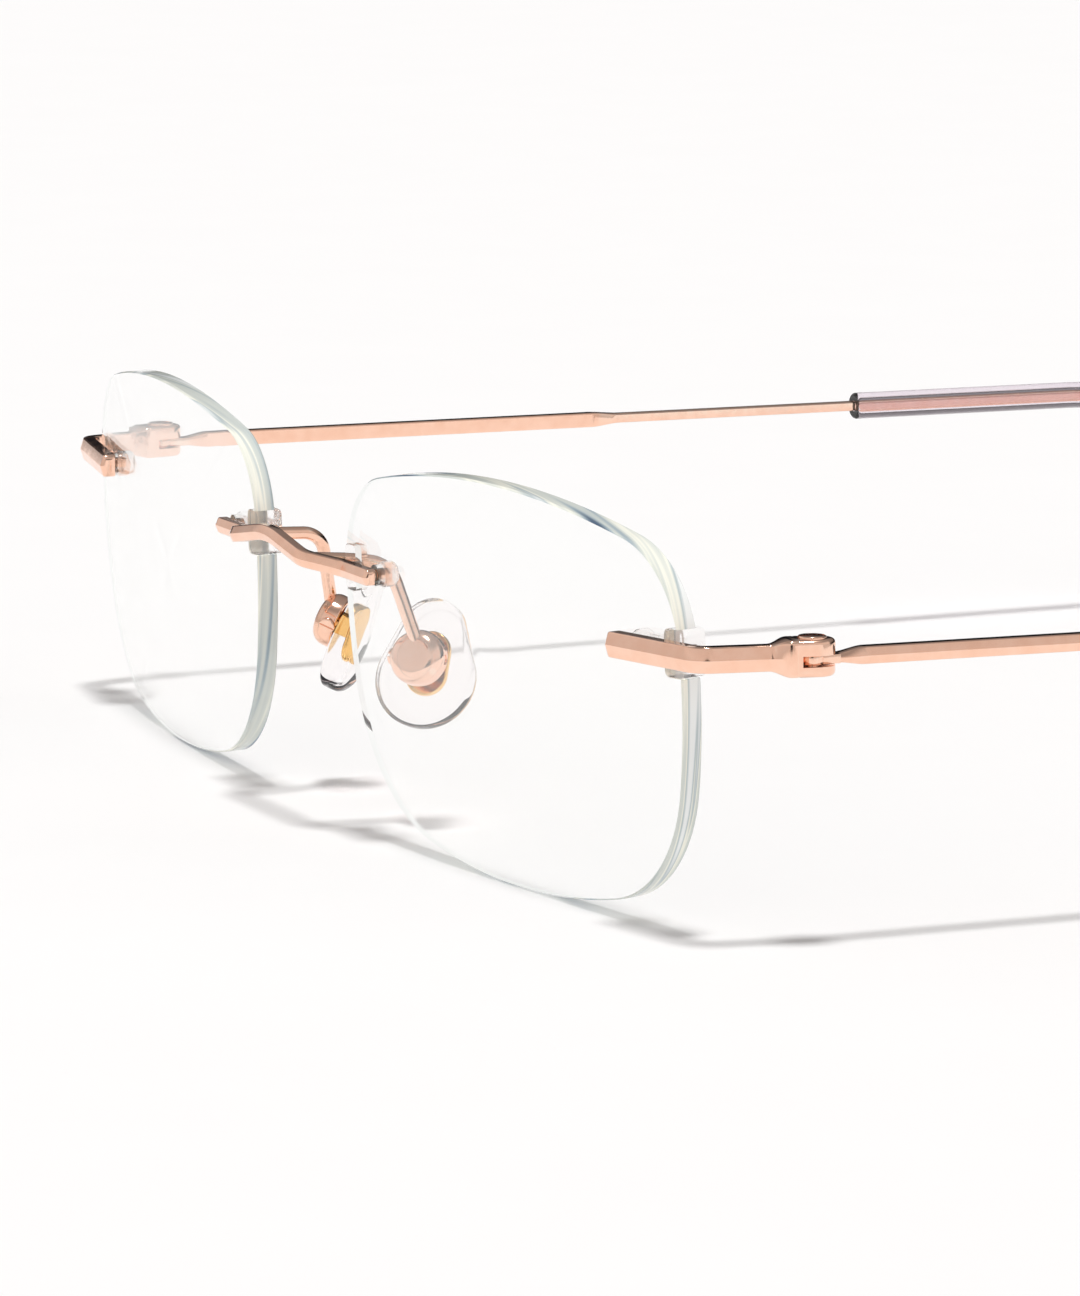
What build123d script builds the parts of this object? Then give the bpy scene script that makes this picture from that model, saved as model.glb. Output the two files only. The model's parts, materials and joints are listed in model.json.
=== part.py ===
"""Rimless eyeglasses, drilled and notched lenses held by posts in clear compression sleeves.

X runs across the face, Y runs from the lenses back along the temples, Z is up.
The glasses stand open on the lower lens edges and on the two temple tips.
Left and right are the wearer's, so the left side is +X.
Every left piece is made first, and the right piece is its mirror image.
"""
import os
from math import cos, radians, sin, sqrt

from build123d import *

# ---------------------------------------------------------------- driving sizes, mm and degrees

# lenses
lens_width = 49.6            # boxed width of one lens
lens_height = 30.8           # boxed height of one lens
lens_gap = 19.4              # distance between the lenses
lens_thickness = 1.65
lens_radius = 260.0          # radius of the front surface
lens_wrap = 6.4              # each lens turns back towards the temple
lens_tilt = 3.0              # the lower edge lies further back than the upper edge
top_sag = 3.1                # how far the corners lie inside the boxed height
upper_outer_inset = 1.3      # how far each corner lies inside the boxed width
lower_outer_inset = 3.1
lower_inner_inset = 4.3
upper_inner_inset = 0.6
upper_outer_radius = 8.5
lower_outer_radius = 12.0
lower_inner_radius = 14.0
upper_inner_radius = 7.5

# metal front parts
mount_height = 5.8           # the metal line above the middle of the lens
seat_gap = 0.08              # between the lens and the bar in front of it
bridge_height = 1.3
bridge_depth = 1.1
bridge_overlap = 6.4         # bar on the lens, from the lens edge inwards
bridge_foot = 1.0            # the bar leaves the lens this far inside the lens edge
bridge_step = 3.2            # width of the step from the lens forward to the bow
bridge_forward = 2.2         # the bow lies this far in front of the lens bars
bridge_step_rise = 0.5       # how far each step climbs
bridge_crown = 1.2           # and how far the bow climbs from there to its middle
bridge_bends = (2.2, 2.5, 12.0)
end_height = 1.92
end_depth = 1.35
end_overlap = 7.6
end_slope = 1.2              # the bar rises towards the temple
ridge = 0.3                  # how far the front ridge of a bar stands out

# end piece and hinge
corner_reach = 3.3           # from the lens edge out to the corner of the end piece
corner_radius = 1.6
side_length = 8.5            # from the corner back to the hinge screw
side_flare = 11.5
hinge_height = 2.75
hinge_radius = 1.35
hinge_swell = 1.5
hinge_shoulder = 0.75        # solid block in front of the slot
ear_reach = 1.7              # the ears end this far behind the hinge screw
tongue_thickness = 0.68
tongue_drop = 0.2            # the tongue lies below the middle of the hinge
tongue_clearance = 0.07      # above and below the tongue
slot_depth = 1.0             # slot wall in front of the hinge screw
screw_radius = 0.5
screw_head_radius = 1.05
screw_head_height = 0.35
screw_slot_width = 0.28
running_clearance = 0.04

# temples
temple_height = 1.3
temple_depth = 1.3
temple_raise = -0.1           # middle of the bar above the middle of the hinge
temple_slope = 0.6           # the temple falls towards the back
temple_splay = 1.0           # the temple spreads outwards towards the back
neck_start = 1.85            # distances behind the hinge screw
neck_end = 4.2
bar_end = 41.0
bar_taper = 3.0
cover_start = 68.0
bend_angle = 30.0
bend_radius = 40.0
temple_length = 140.0
tip_lean = 12.0              # the bent end also leans inwards by this much
core_radius = 0.5
core_end_gap = 9.0           # the wire core ends this far before the tip
cover_radius = 1.2

# posts and sleeves
post_radius = 0.45
end_post_spacing = 5.2
bridge_post_spacing = 4.4
post_edge = 1.0              # from the lens edge to the post in the notch
post_front = 0.6             # front end of a post, measured from the lens front
post_back = 0.6              # back end of a post, measured from the lens back
sleeve_radius = 0.8
sleeve_clearance = 0.02
dome_radius = 1.0
dome_height = 1.1
dome_round = 0.4
web_thickness = 0.45
web_height = 1.5
notch_height = 3.6
notch_depth = 1.9
notch_proud = 0.2
notch_round = 0.5

# nose pads
pad_length = 10.4
pad_width = 8.0
pad_thickness = 2.1
pad_splay = 22.0             # the lower end spreads outwards
pad_frontal = 47.0           # the front edge is nearer the nose than the rear edge
pad_rest = 1.1               # pad back face to the pad screw
pad_shift = 0.0              # the pad's middle lies below the box's middle
pad_top_radius = 2.6
pad_edge_radius = 0.9
box_x = 9.6                  # middle of the pad box, from the middle of the glasses
box_y = 5.2
box_drop = 7.6               # below the metal line
box_radius = 2.2
box_back = 1.4               # back of the box to the pad screw
box_front = 0.5              # pad screw to the rim of the box
box_wall = 0.45
box_round = 1.1              # rounding of the closed end of the box
pad_screw_radius = 0.4
pad_screw_head = 0.65
lug_width = 1.0
lug_radius = 0.85
insert_length = 5.2
insert_width = 3.4
insert_thickness = 0.6
insert_bed = 0.6             # pad material behind the insert
arm_radius = 0.52
arm_gap = 1.2                # arm elbow from the lens edge, towards the nose
arm_back = 3.3               # how far the arm runs back before it turns down
arm_bend = 2.4
arm_inset = 1.2              # the arm meets the closed end of the box this far inside its top

# ---------------------------------------------------------------- places worked out from the sizes

thin_strip = 0.01            # height of the strip that measures the lens at the metal line
half_width = lens_width / 2
half_height = lens_height / 2
wrap = radians(lens_wrap)
tilt = radians(lens_tilt)
lens_x = lens_gap / 2 + half_width * cos(wrap)
lens_z = half_height * cos(tilt)
bar_z = lens_z + mount_height
up = Vector(0, 0, 1)

lens_frame = Plane(
    origin=(lens_x, 0, lens_z),
    x_dir=(cos(wrap), sin(wrap), 0),
    z_dir=(sin(wrap) * cos(tilt), -cos(wrap) * cos(tilt), -sin(tilt)),
)
lens_centre = lens_frame.from_local_coords(Vector(0, 0, -lens_radius))


def lens_outline():
    """Lens shape: four shallow arcs that meet in four rounded corners."""
    upper_outer = (half_width - upper_outer_inset, half_height - top_sag)
    lower_outer = (half_width - lower_outer_inset, -half_height + top_sag)
    lower_inner = (-half_width + lower_inner_inset, -half_height + top_sag)
    upper_inner = (-half_width + upper_inner_inset, half_height - top_sag)
    with BuildSketch(mode=Mode.PRIVATE) as shape:
        with BuildLine():
            ThreePointArc(upper_inner, (0, half_height), upper_outer)
            ThreePointArc(upper_outer, (half_width, 0), lower_outer)
            ThreePointArc(lower_outer, (0, -half_height), lower_inner)
            ThreePointArc(lower_inner, (-half_width, 0), upper_inner)
        make_face()
        for place, radius in (
            (upper_outer, upper_outer_radius),
            (lower_outer, lower_outer_radius),
            (lower_inner, lower_inner_radius),
            (upper_inner, upper_inner_radius),
        ):
            fillet(shape.vertices().sort_by_distance(place)[0], radius)
    return shape.sketch


def edge_reach(side):
    """Distance from the middle of the lens to its edge at the metal line, on one side."""
    with BuildSketch(mode=Mode.PRIVATE) as strip:
        add(lens_outline())
        with Locations((side * lens_width / 2, mount_height / cos(tilt))):
            Rectangle(lens_width, thin_strip, mode=Mode.INTERSECT)
    return strip.sketch.bounding_box().size.X


def lens_front(side, inset):
    """Point on the lens front at the metal line, at one distance inside the lens edge.

    side is 1 at the temple and -1 at the nose.
    """
    across = side * (edge_reach(side) - inset)
    rise = mount_height / cos(tilt)
    depth = sqrt(lens_radius**2 - across**2 - rise**2) - lens_radius
    return lens_frame.from_local_coords(Vector(across, rise, depth))


def seat(side, spacing):
    """Plane on the lens front at the drilled hole, with z out of the lens.

    x points to the near lens edge, where the second post stands in the notch.
    """
    point = lens_front(side, post_edge + spacing)
    normal = (point - lens_centre).normalized()
    return Plane(origin=point, x_dir=up.cross(normal) * side, z_dir=normal)


def bar_section(height, depth, ridge_depth):
    """Bar cross-section: flat back, top and bottom, and two front facets with a ridge.

    x is up and y is away from the lens.
    """
    with BuildSketch(mode=Mode.PRIVATE) as section:
        with BuildLine():
            Polyline(
                (-height / 2, -depth / 2),
                (height / 2, -depth / 2),
                (height / 2, depth / 2 - ridge_depth),
                (0, depth / 2),
                (-height / 2, depth / 2 - ridge_depth),
                close=True,
            )
        make_face()
    return section.sketch


outer_seat = seat(1, end_post_spacing)
inner_seat = seat(-1, bridge_post_spacing)
post_end = -lens_thickness - post_back

left_pieces = {}
middle_pieces = {}

# ---------------------------------------------------------------- lens

with BuildPart() as lens:
    with BuildSketch(lens_frame):
        add(lens_outline())
    extrude(amount=lens_thickness * 3, both=True)
    with Locations(lens_centre):
        Sphere(lens_radius, mode=Mode.INTERSECT)
        Sphere(lens_radius - lens_thickness, mode=Mode.SUBTRACT)
    for seat_plane, spacing in ((outer_seat, end_post_spacing), (inner_seat, bridge_post_spacing)):
        with BuildSketch(seat_plane):
            Circle(sleeve_radius + sleeve_clearance)
            notch_length = notch_depth + lens_thickness
            with Locations((post_edge + spacing - notch_depth + notch_length / 2, 0)):
                RectangleRounded(notch_length, notch_height, notch_round)
        extrude(amount=lens_thickness * 2, both=True, mode=Mode.SUBTRACT)
left_pieces["lens"] = lens.part

# ---------------------------------------------------------------- posts and clear sleeves

mount_places = (("end", outer_seat, end_post_spacing), ("bridge", inner_seat, bridge_post_spacing))
for place, seat_plane, spacing in mount_places:
    post_reach = post_edge + spacing
    with BuildPart() as posts:
        with BuildSketch(seat_plane.offset(post_end)):
            with Locations((0, 0), (spacing, 0)):
                Circle(post_radius)
        extrude(amount=post_front - post_end)
    left_pieces[place + "_posts"] = posts.part

    sleeve_front = -2 * sleeve_clearance - post_reach**2 / (2 * lens_radius)
    web_front = -lens_thickness - 2 * sleeve_clearance - post_reach**2 / (2 * lens_radius)
    with BuildPart() as sleeve:
        with BuildSketch(seat_plane.offset(sleeve_front)):
            Circle(sleeve_radius)
        extrude(amount=web_front - sleeve_front)
        with BuildSketch(seat_plane.offset(web_front)):
            Circle(dome_radius)
        extrude(amount=-dome_height)
        fillet(sleeve.edges().sort_by(Axis(seat_plane.origin, seat_plane.z_dir))[0], dome_round)
        with BuildSketch(seat_plane.offset(web_front)):
            with Locations((post_reach / 2, 0)):
                Rectangle(post_reach, web_height)
        extrude(amount=-web_thickness)
        block_length = notch_depth + notch_proud - sleeve_clearance
        with BuildSketch(seat_plane.offset(web_front - web_thickness)):
            with Locations((post_reach + notch_proud - block_length / 2, 0)):
                RectangleRounded(block_length, notch_height - 2 * sleeve_clearance, notch_round)
        extrude(amount=web_thickness + sleeve_front - web_front)
        add(posts.part, mode=Mode.SUBTRACT)
    left_pieces[place + "_sleeve"] = sleeve.part

# ---------------------------------------------------------------- end piece and hinge screw

along = outer_seat.x_dir
outward = along.cross(up)
hole_place = Vector(outer_seat.origin.X, outer_seat.origin.Y, bar_z)
line_place = hole_place + outward * (seat_gap + end_depth / 2)
to_edge = post_edge + end_post_spacing
bar_way = along * cos(radians(end_slope)) + up * sin(radians(end_slope))
end_tip = line_place + bar_way * (to_edge - end_overlap)
end_corner = line_place + bar_way * (to_edge + corner_reach)
flare = radians(side_flare)
side_way = Vector(sin(flare), cos(flare), 0)
hinge_axis = end_corner + side_way * side_length
hinge_frame = Plane(origin=hinge_axis, x_dir=side_way, z_dir=up)
block_start = slot_depth + hinge_shoulder

with BuildPart() as screw:
    with BuildSketch(hinge_frame.offset(-hinge_height / 2)):
        Circle(screw_radius)
    extrude(amount=hinge_height)
    with BuildSketch(hinge_frame.offset(hinge_height / 2 - screw_head_height / 2)):
        Circle(screw_head_radius)
    extrude(amount=screw_head_height)
    with BuildSketch(hinge_frame.offset(hinge_height / 2)):
        Rectangle(screw_head_radius * 3, screw_slot_width)
    extrude(amount=screw_head_height, mode=Mode.SUBTRACT)
left_pieces["hinge_screw"] = screw.part

with BuildPart() as end_piece:
    swell_start = hinge_axis - side_way * (block_start + hinge_swell)
    with BuildLine() as end_path:
        FilletPolyline(end_tip, end_corner, swell_start, radius=corner_radius)
    with BuildSketch(Plane(origin=end_tip, x_dir=up, z_dir=bar_way)):
        add(bar_section(end_height, end_depth, ridge))
    sweep(path=end_path.wires()[0])
    with BuildSketch(Plane(origin=swell_start, x_dir=up, z_dir=side_way)):
        add(bar_section(end_height, end_depth, ridge))
    with BuildSketch(Plane(origin=hinge_axis - side_way * block_start, x_dir=up, z_dir=side_way)):
        add(bar_section(hinge_height, 2 * hinge_radius, ridge))
    loft()
    with BuildSketch(hinge_frame.offset(-hinge_height / 2)):
        ear_round = ear_reach - hinge_radius
        with Locations(((ear_round - block_start) / 2, 0)):
            Rectangle(ear_round + block_start, 2 * hinge_radius)
        with Locations((ear_round, 0)):
            Circle(hinge_radius)
    extrude(amount=hinge_height)
    slot_height = tongue_thickness + 2 * tongue_clearance
    with BuildSketch(hinge_frame.offset(-tongue_drop - slot_height / 2)):
        with Locations(((ear_reach + hinge_radius - slot_depth) / 2, 0)):
            Rectangle(slot_depth + ear_reach + hinge_radius, 3 * hinge_radius)
    extrude(amount=slot_height, mode=Mode.SUBTRACT)
    add(screw.part, mode=Mode.SUBTRACT)
    add(left_pieces["end_posts"], mode=Mode.SUBTRACT)
left_pieces["end_piece"] = end_piece.part

# ---------------------------------------------------------------- temple and its clear cover

splay = radians(temple_splay)
slope = radians(temple_slope)
lean = radians(tip_lean)
bend = radians(bend_angle)
back = Vector(sin(splay) * cos(slope), cos(splay) * cos(slope), -sin(slope))
level_back = Vector(sin(splay), cos(splay), 0)
inward = up.cross(level_back)
down = inward.cross(back)
drop_way = down * cos(lean) + inward * sin(lean)
temple_start = hinge_axis + up * temple_raise
temple_frame = Plane(origin=temple_start, x_dir=back, z_dir=back.cross(drop_way))

# the straight tip is as long as it takes for its round end to rest on the table
end_place = temple_length - cover_radius
arc_length = bend_radius * bend
fall = temple_start.Z - cover_radius
fall -= sin(slope) * (end_place - arc_length + bend_radius * sin(bend))
fall -= cos(lean) * cos(slope) * bend_radius * (1 - cos(bend))
tip_length = fall / (cos(lean) * cos(slope) * sin(bend) - sin(slope) * (1 - cos(bend)))
bend_start = end_place - arc_length - tip_length


def temple_path(start, end):
    """Centre line of the temple between two distances behind the hinge screw."""
    with BuildLine(temple_frame, mode=Mode.PRIVATE) as path:
        Line((start, 0), (bend_start, 0))
        bow = JernArc((bend_start, 0), (1, 0), bend_radius, bend_angle)
        Line(bow @ 1, bow @ 1 + bow % 1 * (end - bend_start - arc_length))
    return path.wires()[0]


def across_temple(place):
    """Plane across the temple at one distance behind the hinge screw, with x up and y outward."""
    return Plane(origin=temple_start + back * place, x_dir=down * -1, z_dir=back)


core_end = end_place - core_end_gap
with BuildPart() as core:
    with BuildSketch(across_temple(bar_end)):
        Circle(core_radius)
    sweep(path=temple_path(bar_end, core_end))

with BuildPart() as temple:
    tongue_frame = Plane(origin=hinge_axis, x_dir=level_back, z_dir=up)
    tongue_radius = slot_depth - 3 * running_clearance
    with BuildSketch(tongue_frame.offset(-tongue_drop - tongue_thickness / 2)):
        Circle(tongue_radius)
        with Locations((neck_start / 2, 0)):
            Rectangle(neck_start, temple_depth)
    extrude(amount=tongue_thickness)
    neck = hinge_axis + level_back * neck_start - up * tongue_drop
    with BuildSketch(Plane(origin=neck, x_dir=up, z_dir=level_back)):
        add(bar_section(tongue_thickness, temple_depth, ridge))
    with BuildSketch(across_temple(neck_end)):
        add(bar_section(temple_height, temple_depth, ridge))
    loft()
    with BuildSketch(across_temple(neck_end)):
        add(bar_section(temple_height, temple_depth, ridge))
    extrude(amount=bar_end - neck_end)
    with BuildSketch(across_temple(bar_end)):
        add(bar_section(temple_height, temple_depth, ridge))
    with BuildSketch(across_temple(bar_end + bar_taper)):
        add(bar_section(core_radius, core_radius, ridge / 4))
    loft()
    add(core.part)
    with BuildSketch(hinge_frame.offset(-hinge_height)):
        Circle(screw_radius + running_clearance)
    extrude(amount=2 * hinge_height, mode=Mode.SUBTRACT)
left_pieces["temple"] = temple.part

with BuildPart() as cover:
    with BuildSketch(across_temple(cover_start)):
        Circle(cover_radius)
    sweep(path=temple_path(cover_start, end_place))
    with Locations(temple_path(cover_start, end_place) @ 1):
        Sphere(cover_radius)
    add(core.part, mode=Mode.SUBTRACT)
left_pieces["temple_tip"] = cover.part

# ---------------------------------------------------------------- bridge bar

edge_x = lens_front(-1, 0).X
bridge_y = lens_front(-1, 0).Y - seat_gap - bridge_depth / 2
bow_y = bridge_y - bridge_forward
bow_z = bar_z + bridge_step_rise
half_bow = [
    Vector(edge_x + bridge_overlap, bridge_y, bar_z),
    Vector(edge_x + bridge_foot, bridge_y, bar_z),
    Vector(edge_x + bridge_foot - bridge_step, bow_y, bow_z),
]
crown = Vector(0, bow_y, bow_z + bridge_crown)
with BuildPart() as bridge:
    with BuildLine() as bow:
        FilletPolyline(
            *half_bow,
            crown,
            *[Vector(-place.X, place.Y, place.Z) for place in reversed(half_bow)],
            radius=[*bridge_bends, *reversed(bridge_bends[:-1])],
        )
    with BuildSketch(Plane(origin=half_bow[0], x_dir=up, z_dir=(-1, 0, 0))):
        add(bar_section(bridge_height, -bridge_depth, -ridge))
    sweep(path=bow.wires()[0])
    for posts in (left_pieces["bridge_posts"], mirror(left_pieces["bridge_posts"], about=Plane.YZ)):
        add(posts, mode=Mode.SUBTRACT)
middle_pieces["bridge"] = bridge.part

# ---------------------------------------------------------------- nose pad, its box and its arm

splay_angle = radians(pad_splay)
frontal = radians(pad_frontal)
pad_out = Vector(cos(frontal), -sin(frontal), 0)
pad_normal = (pad_out * cos(splay_angle) + up * sin(splay_angle)) * -1
box_place = Vector(box_x, box_y, bar_z - box_drop)
pad_frame = Plane(origin=box_place, x_dir=(sin(frontal), cos(frontal), 0), z_dir=pad_normal)
screw_frame = Plane(origin=box_place, x_dir=pad_normal, z_dir=pad_frame.x_dir)

with BuildPart() as pad_screw:
    with BuildSketch(screw_frame):
        Circle(pad_screw_radius)
    extrude(amount=box_radius - box_wall / 4, both=True)
    with BuildSketch(screw_frame.offset(-box_radius - box_wall / 2)):
        Circle(pad_screw_head)
    extrude(amount=box_wall)
    with BuildSketch(screw_frame.offset(-box_radius - box_wall / 2)):
        Rectangle(pad_screw_head * 3, pad_screw_head / 3)
    extrude(amount=box_wall / 2, mode=Mode.SUBTRACT)
left_pieces["pad_screw"] = pad_screw.part

with BuildPart() as box_blank:
    with BuildSketch(pad_frame.offset(-box_back)):
        Circle(box_radius)
    extrude(amount=box_back + box_front)
    fillet(box_blank.edges().sort_by(Axis(box_place, pad_normal))[0], box_round)

with BuildPart() as pad_box:
    add(box_blank.part)
    with BuildSketch(pad_frame.offset(box_wall - box_back)):
        Circle(box_radius - box_wall)
    extrude(amount=box_back + box_front, mode=Mode.SUBTRACT)
    add(pad_screw.part, mode=Mode.SUBTRACT)
left_pieces["pad_box"] = pad_box.part

with BuildPart() as insert:
    with BuildSketch(screw_frame):
        Circle(lug_radius)
        with Locations(((pad_rest + insert_bed) / 2, 0)):
            Rectangle(pad_rest + insert_bed, 2 * lug_radius)
        Circle(pad_screw_radius + running_clearance, mode=Mode.SUBTRACT)
    extrude(amount=lug_width / 2, both=True)
    with BuildSketch(pad_frame.offset(pad_rest + insert_bed)):
        SlotOverall(insert_length, insert_width, rotation=90)
    extrude(amount=insert_thickness)
left_pieces["pad_insert"] = insert.part

with BuildPart() as pad:
    with BuildSketch(pad_frame.offset(pad_rest)):
        with Locations((0, pad_shift + pad_length / 2 - pad_width / 2)):
            Circle(pad_width / 2)
        with Locations((0, pad_shift - pad_length / 2 + pad_top_radius)):
            Circle(pad_top_radius)
        make_hull()
    extrude(amount=pad_thickness)
    fillet(pad.faces().sort_by(Axis(box_place, pad_normal))[-1].edges(), pad_edge_radius)
    fillet(pad.faces().sort_by(Axis(box_place, pad_normal))[0].edges(), pad_edge_radius / 3)
    add(insert.part, mode=Mode.SUBTRACT)
left_pieces["nose_pad"] = pad.part

with BuildPart() as arm:
    root = half_bow[-1]
    elbow = Vector(edge_x - arm_gap, arm_back, bar_z)
    box_top = box_place - pad_normal * box_back / 2 - pad_frame.y_dir * (box_radius - arm_inset)
    with BuildLine() as arm_path:
        FilletPolyline(root, elbow, box_top, radius=arm_bend)
    with BuildSketch(Plane(origin=root, x_dir=up, z_dir=elbow - root)):
        Circle(arm_radius)
    sweep(path=arm_path.wires()[0])
    add(bridge.part, mode=Mode.SUBTRACT)
    add(box_blank.part, mode=Mode.SUBTRACT)
left_pieces["pad_arm"] = arm.part

# ---------------------------------------------------------------- both sides, placed and written

pieces = {}
for name, piece in middle_pieces.items():
    pieces[name] = piece
for name, piece in left_pieces.items():
    pieces[name + "_left"] = piece
    pieces[name + "_right"] = mirror(piece, about=Plane.YZ)

box = Compound(children=[Compound(piece.solids()) for piece in pieces.values()]).bounding_box()
shift = Location((-box.center().X, -box.center().Y, -box.min.Z))

os.makedirs("parts", exist_ok=True)
for name, piece in pieces.items():
    placed = piece.moved(shift)
    placed.label = name
    export_step(placed, "parts/" + name + ".step")
    print(name, piece.is_valid, [round(s.volume, 3) for s in piece.solids()])

print("box", box)
print("shift", shift.position)
print("hinge axis", hinge_axis + shift.position)
print("pad axis", box_place + shift.position, "along", pad_frame.x_dir)
tip_path = temple_path(cover_start, end_place)
print("tip end", tip_path @ 1 + shift.position, "along", tip_path % 1, "straight for", tip_length)
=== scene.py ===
"""Rimless eyeglasses: drilled clear lenses on a rose gold bridge and end pieces, with hinged
temples, clear tips and rocking nose pads.

X runs across the face, Y from the lenses back along the temples, Z is up. Every left piece is
made first, and its mirror image is the right piece. Sizes are in metres.
"""
import json
from math import asin, atan2, cos, pi, radians, sin, sqrt, tan

import bmesh
import bpy
from bpy.props import FloatProperty, FloatVectorProperty, PointerProperty
from bpy.types import Operator, Panel, PropertyGroup
from mathutils import Matrix, Vector


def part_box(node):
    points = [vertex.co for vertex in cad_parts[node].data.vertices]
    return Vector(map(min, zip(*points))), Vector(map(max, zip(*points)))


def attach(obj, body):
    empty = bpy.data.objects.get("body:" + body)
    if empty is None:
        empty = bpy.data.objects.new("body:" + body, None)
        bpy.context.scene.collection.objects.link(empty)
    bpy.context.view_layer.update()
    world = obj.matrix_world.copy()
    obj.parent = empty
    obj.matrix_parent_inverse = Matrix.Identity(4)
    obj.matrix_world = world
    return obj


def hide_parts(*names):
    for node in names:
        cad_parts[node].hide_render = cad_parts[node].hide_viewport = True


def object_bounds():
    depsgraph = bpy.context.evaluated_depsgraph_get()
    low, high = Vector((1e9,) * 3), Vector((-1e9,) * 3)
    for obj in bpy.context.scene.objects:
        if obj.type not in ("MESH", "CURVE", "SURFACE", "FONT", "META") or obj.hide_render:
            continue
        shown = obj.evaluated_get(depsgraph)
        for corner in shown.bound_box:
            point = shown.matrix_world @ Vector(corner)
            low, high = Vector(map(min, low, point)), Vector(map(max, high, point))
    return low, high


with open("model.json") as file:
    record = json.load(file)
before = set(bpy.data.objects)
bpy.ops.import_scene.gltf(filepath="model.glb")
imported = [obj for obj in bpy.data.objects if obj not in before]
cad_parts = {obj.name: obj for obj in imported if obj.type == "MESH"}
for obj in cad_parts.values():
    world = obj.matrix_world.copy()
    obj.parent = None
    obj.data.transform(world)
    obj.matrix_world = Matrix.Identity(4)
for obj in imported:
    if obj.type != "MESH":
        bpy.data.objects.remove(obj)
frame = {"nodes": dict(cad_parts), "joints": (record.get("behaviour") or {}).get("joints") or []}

bl_info = {
    "name": "Rimless eyeglasses",
    "version": (1, 0, 0),
    "blender": (4, 5, 0),
    "location": "3D View > Sidebar > Eyeglasses",
    "description": "Builds rimless eyeglasses with hinged temples and rocking nose pads",
    "category": "Object",
}

MM = 0.001
UP = Vector((0, 0, 1))
JOINTS = {joint["name"]: joint for joint in frame["joints"]}
HINGE = Vector(JOINTS["temple_left_hinge"]["pos_m"])
PAD_PIVOT = Vector(JOINTS["pad_left_rock"]["pos_m"])
PAD_AXIS = Vector(JOINTS["pad_left_rock"]["axis"]).normalized()
LENS_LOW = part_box("lens_left")[0]
CAD_LOW, CAD_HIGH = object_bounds()

# number of steps
SWELL_STEPS = 8  # where a bar swells, narrows or tapers
PAD_ROUND_STEPS = (4, 8)  # back and front rounding of a pad

# rings of the lens faces and of the pad faces, as shares of their outlines
LENS_RINGS = (0.12, 0.25, 0.38, 0.5, 0.62, 0.74, 0.85, 0.93, 0.975)
PAD_BACK_RINGS = (0.25, 0.5, 0.75)
PAD_FACE_RINGS = (0.85, 0.7, 0.5, 0.3, 0.15)
RIM_FACING = 0.9  # a lens face that is turned further than this from the front belongs to the rim

# studio walls: (height on the unit sphere, colour), on the open side and on the dark side
OPEN_SIDE = (
    (0.0, (0.95, 0.92, 0.91)),
    (0.35, (1.20, 1.14, 1.12)),
    (0.6, (1.10, 1.05, 1.03)),
    (0.8, (0.55, 0.54, 0.54)),
    (1.0, (0.5, 0.5, 0.5)),
)
DARK_SIDE = (
    (0.0, (0.01, 0.01, 0.015)),
    (0.21, (0.015, 0.015, 0.02)),
    (0.36, (0.30, 0.29, 0.29)),
    (0.8, (0.50, 0.49, 0.49)),
    (1.0, (0.5, 0.5, 0.5)),
)
# lens edge: (share, colour) across the streaks, which are painted reflections of the studio in the polished
# edge
EDGE_PAINTED_REFLECTIONS = (
    (0.36, (0.07, 0.12, 0.19)),
    (0.41, (0.38, 0.47, 0.52)),
    (0.45, (0.64, 0.69, 0.66)),
    (0.51, (0.72, 0.76, 0.71)),
    (0.56, (0.97, 0.97, 0.86)),
    (0.60, (0.50, 0.58, 0.60)),
    (0.66, (0.92, 0.95, 0.94)),
)
DARK_WAY = Vector((-0.6, 0.8, 0.0))  # the dark wall stands behind the glasses
DARK_RANGE = (0.3, 0.6)  # cosines between which the open side turns into the dark wall
DOOR_WAY = Vector((0.90, -0.40, 0.15)).normalized()  # a dark doorway in the open side
DOOR_RANGE = (0.965, 0.985)
DOOR_TONE = (0.02, 0.02, 0.025, 1)
BACKDROP = (0.965, 0.965, 0.965, 1)  # what the camera sees behind the floor
KEY_WAY = Vector((-0.10, 0.05, -1))  # where the overhead light falls
KEY_TONE = (1.0, 0.995, 0.99)

# clear finishes: roughness, its spread over the marks, depth of the marks, colour of the shade
CLEAR = {
    "lens": {"roughness": 0.0, "spread": 0.004, "bump_depth": 0.0, "shade": (0.80, 0.80, 0.80, 1)},
    "sleeve": {"roughness": 0.13, "spread": 0.25, "bump_depth": 0.02 * MM, "shade": (0.9, 0.9, 0.9, 1)},
    "tip": {"roughness": 0.02, "spread": 0.04, "bump_depth": 0.002 * MM, "shade": (0.72, 0.70, 0.72, 1)},
    "pad": {"roughness": 0.02, "spread": 0.06, "bump_depth": 0.003 * MM, "shade": (0.85, 0.83, 0.83, 1)},
}
RIM_INSIDE = (0.93, 0.95, 0.94, 1)  # rim of a lens seen through the lens
RIM_SHADE = (0.55, 0.55, 0.55, 1)


# ---------------------------------------------------------------- sizes and colours


def size(name, text, millimetres):
    """A length property whose default is given in millimetres."""
    return FloatProperty(name=name, description=text, default=millimetres * MM, unit="LENGTH", precision=5)


def turn(name, text, degrees):
    """An angle property whose default is given in degrees."""
    return FloatProperty(name=name, description=text, default=radians(degrees), subtype="ANGLE")


def amount(name, text, value):
    """A plain number property."""
    return FloatProperty(name=name, description=text, default=value, subtype="FACTOR")


def colour(name, text, value):
    """A colour property."""
    return FloatVectorProperty(
        name=name, description=text, default=value, size=4, subtype="COLOR", min=0, max=1,
    )


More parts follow.
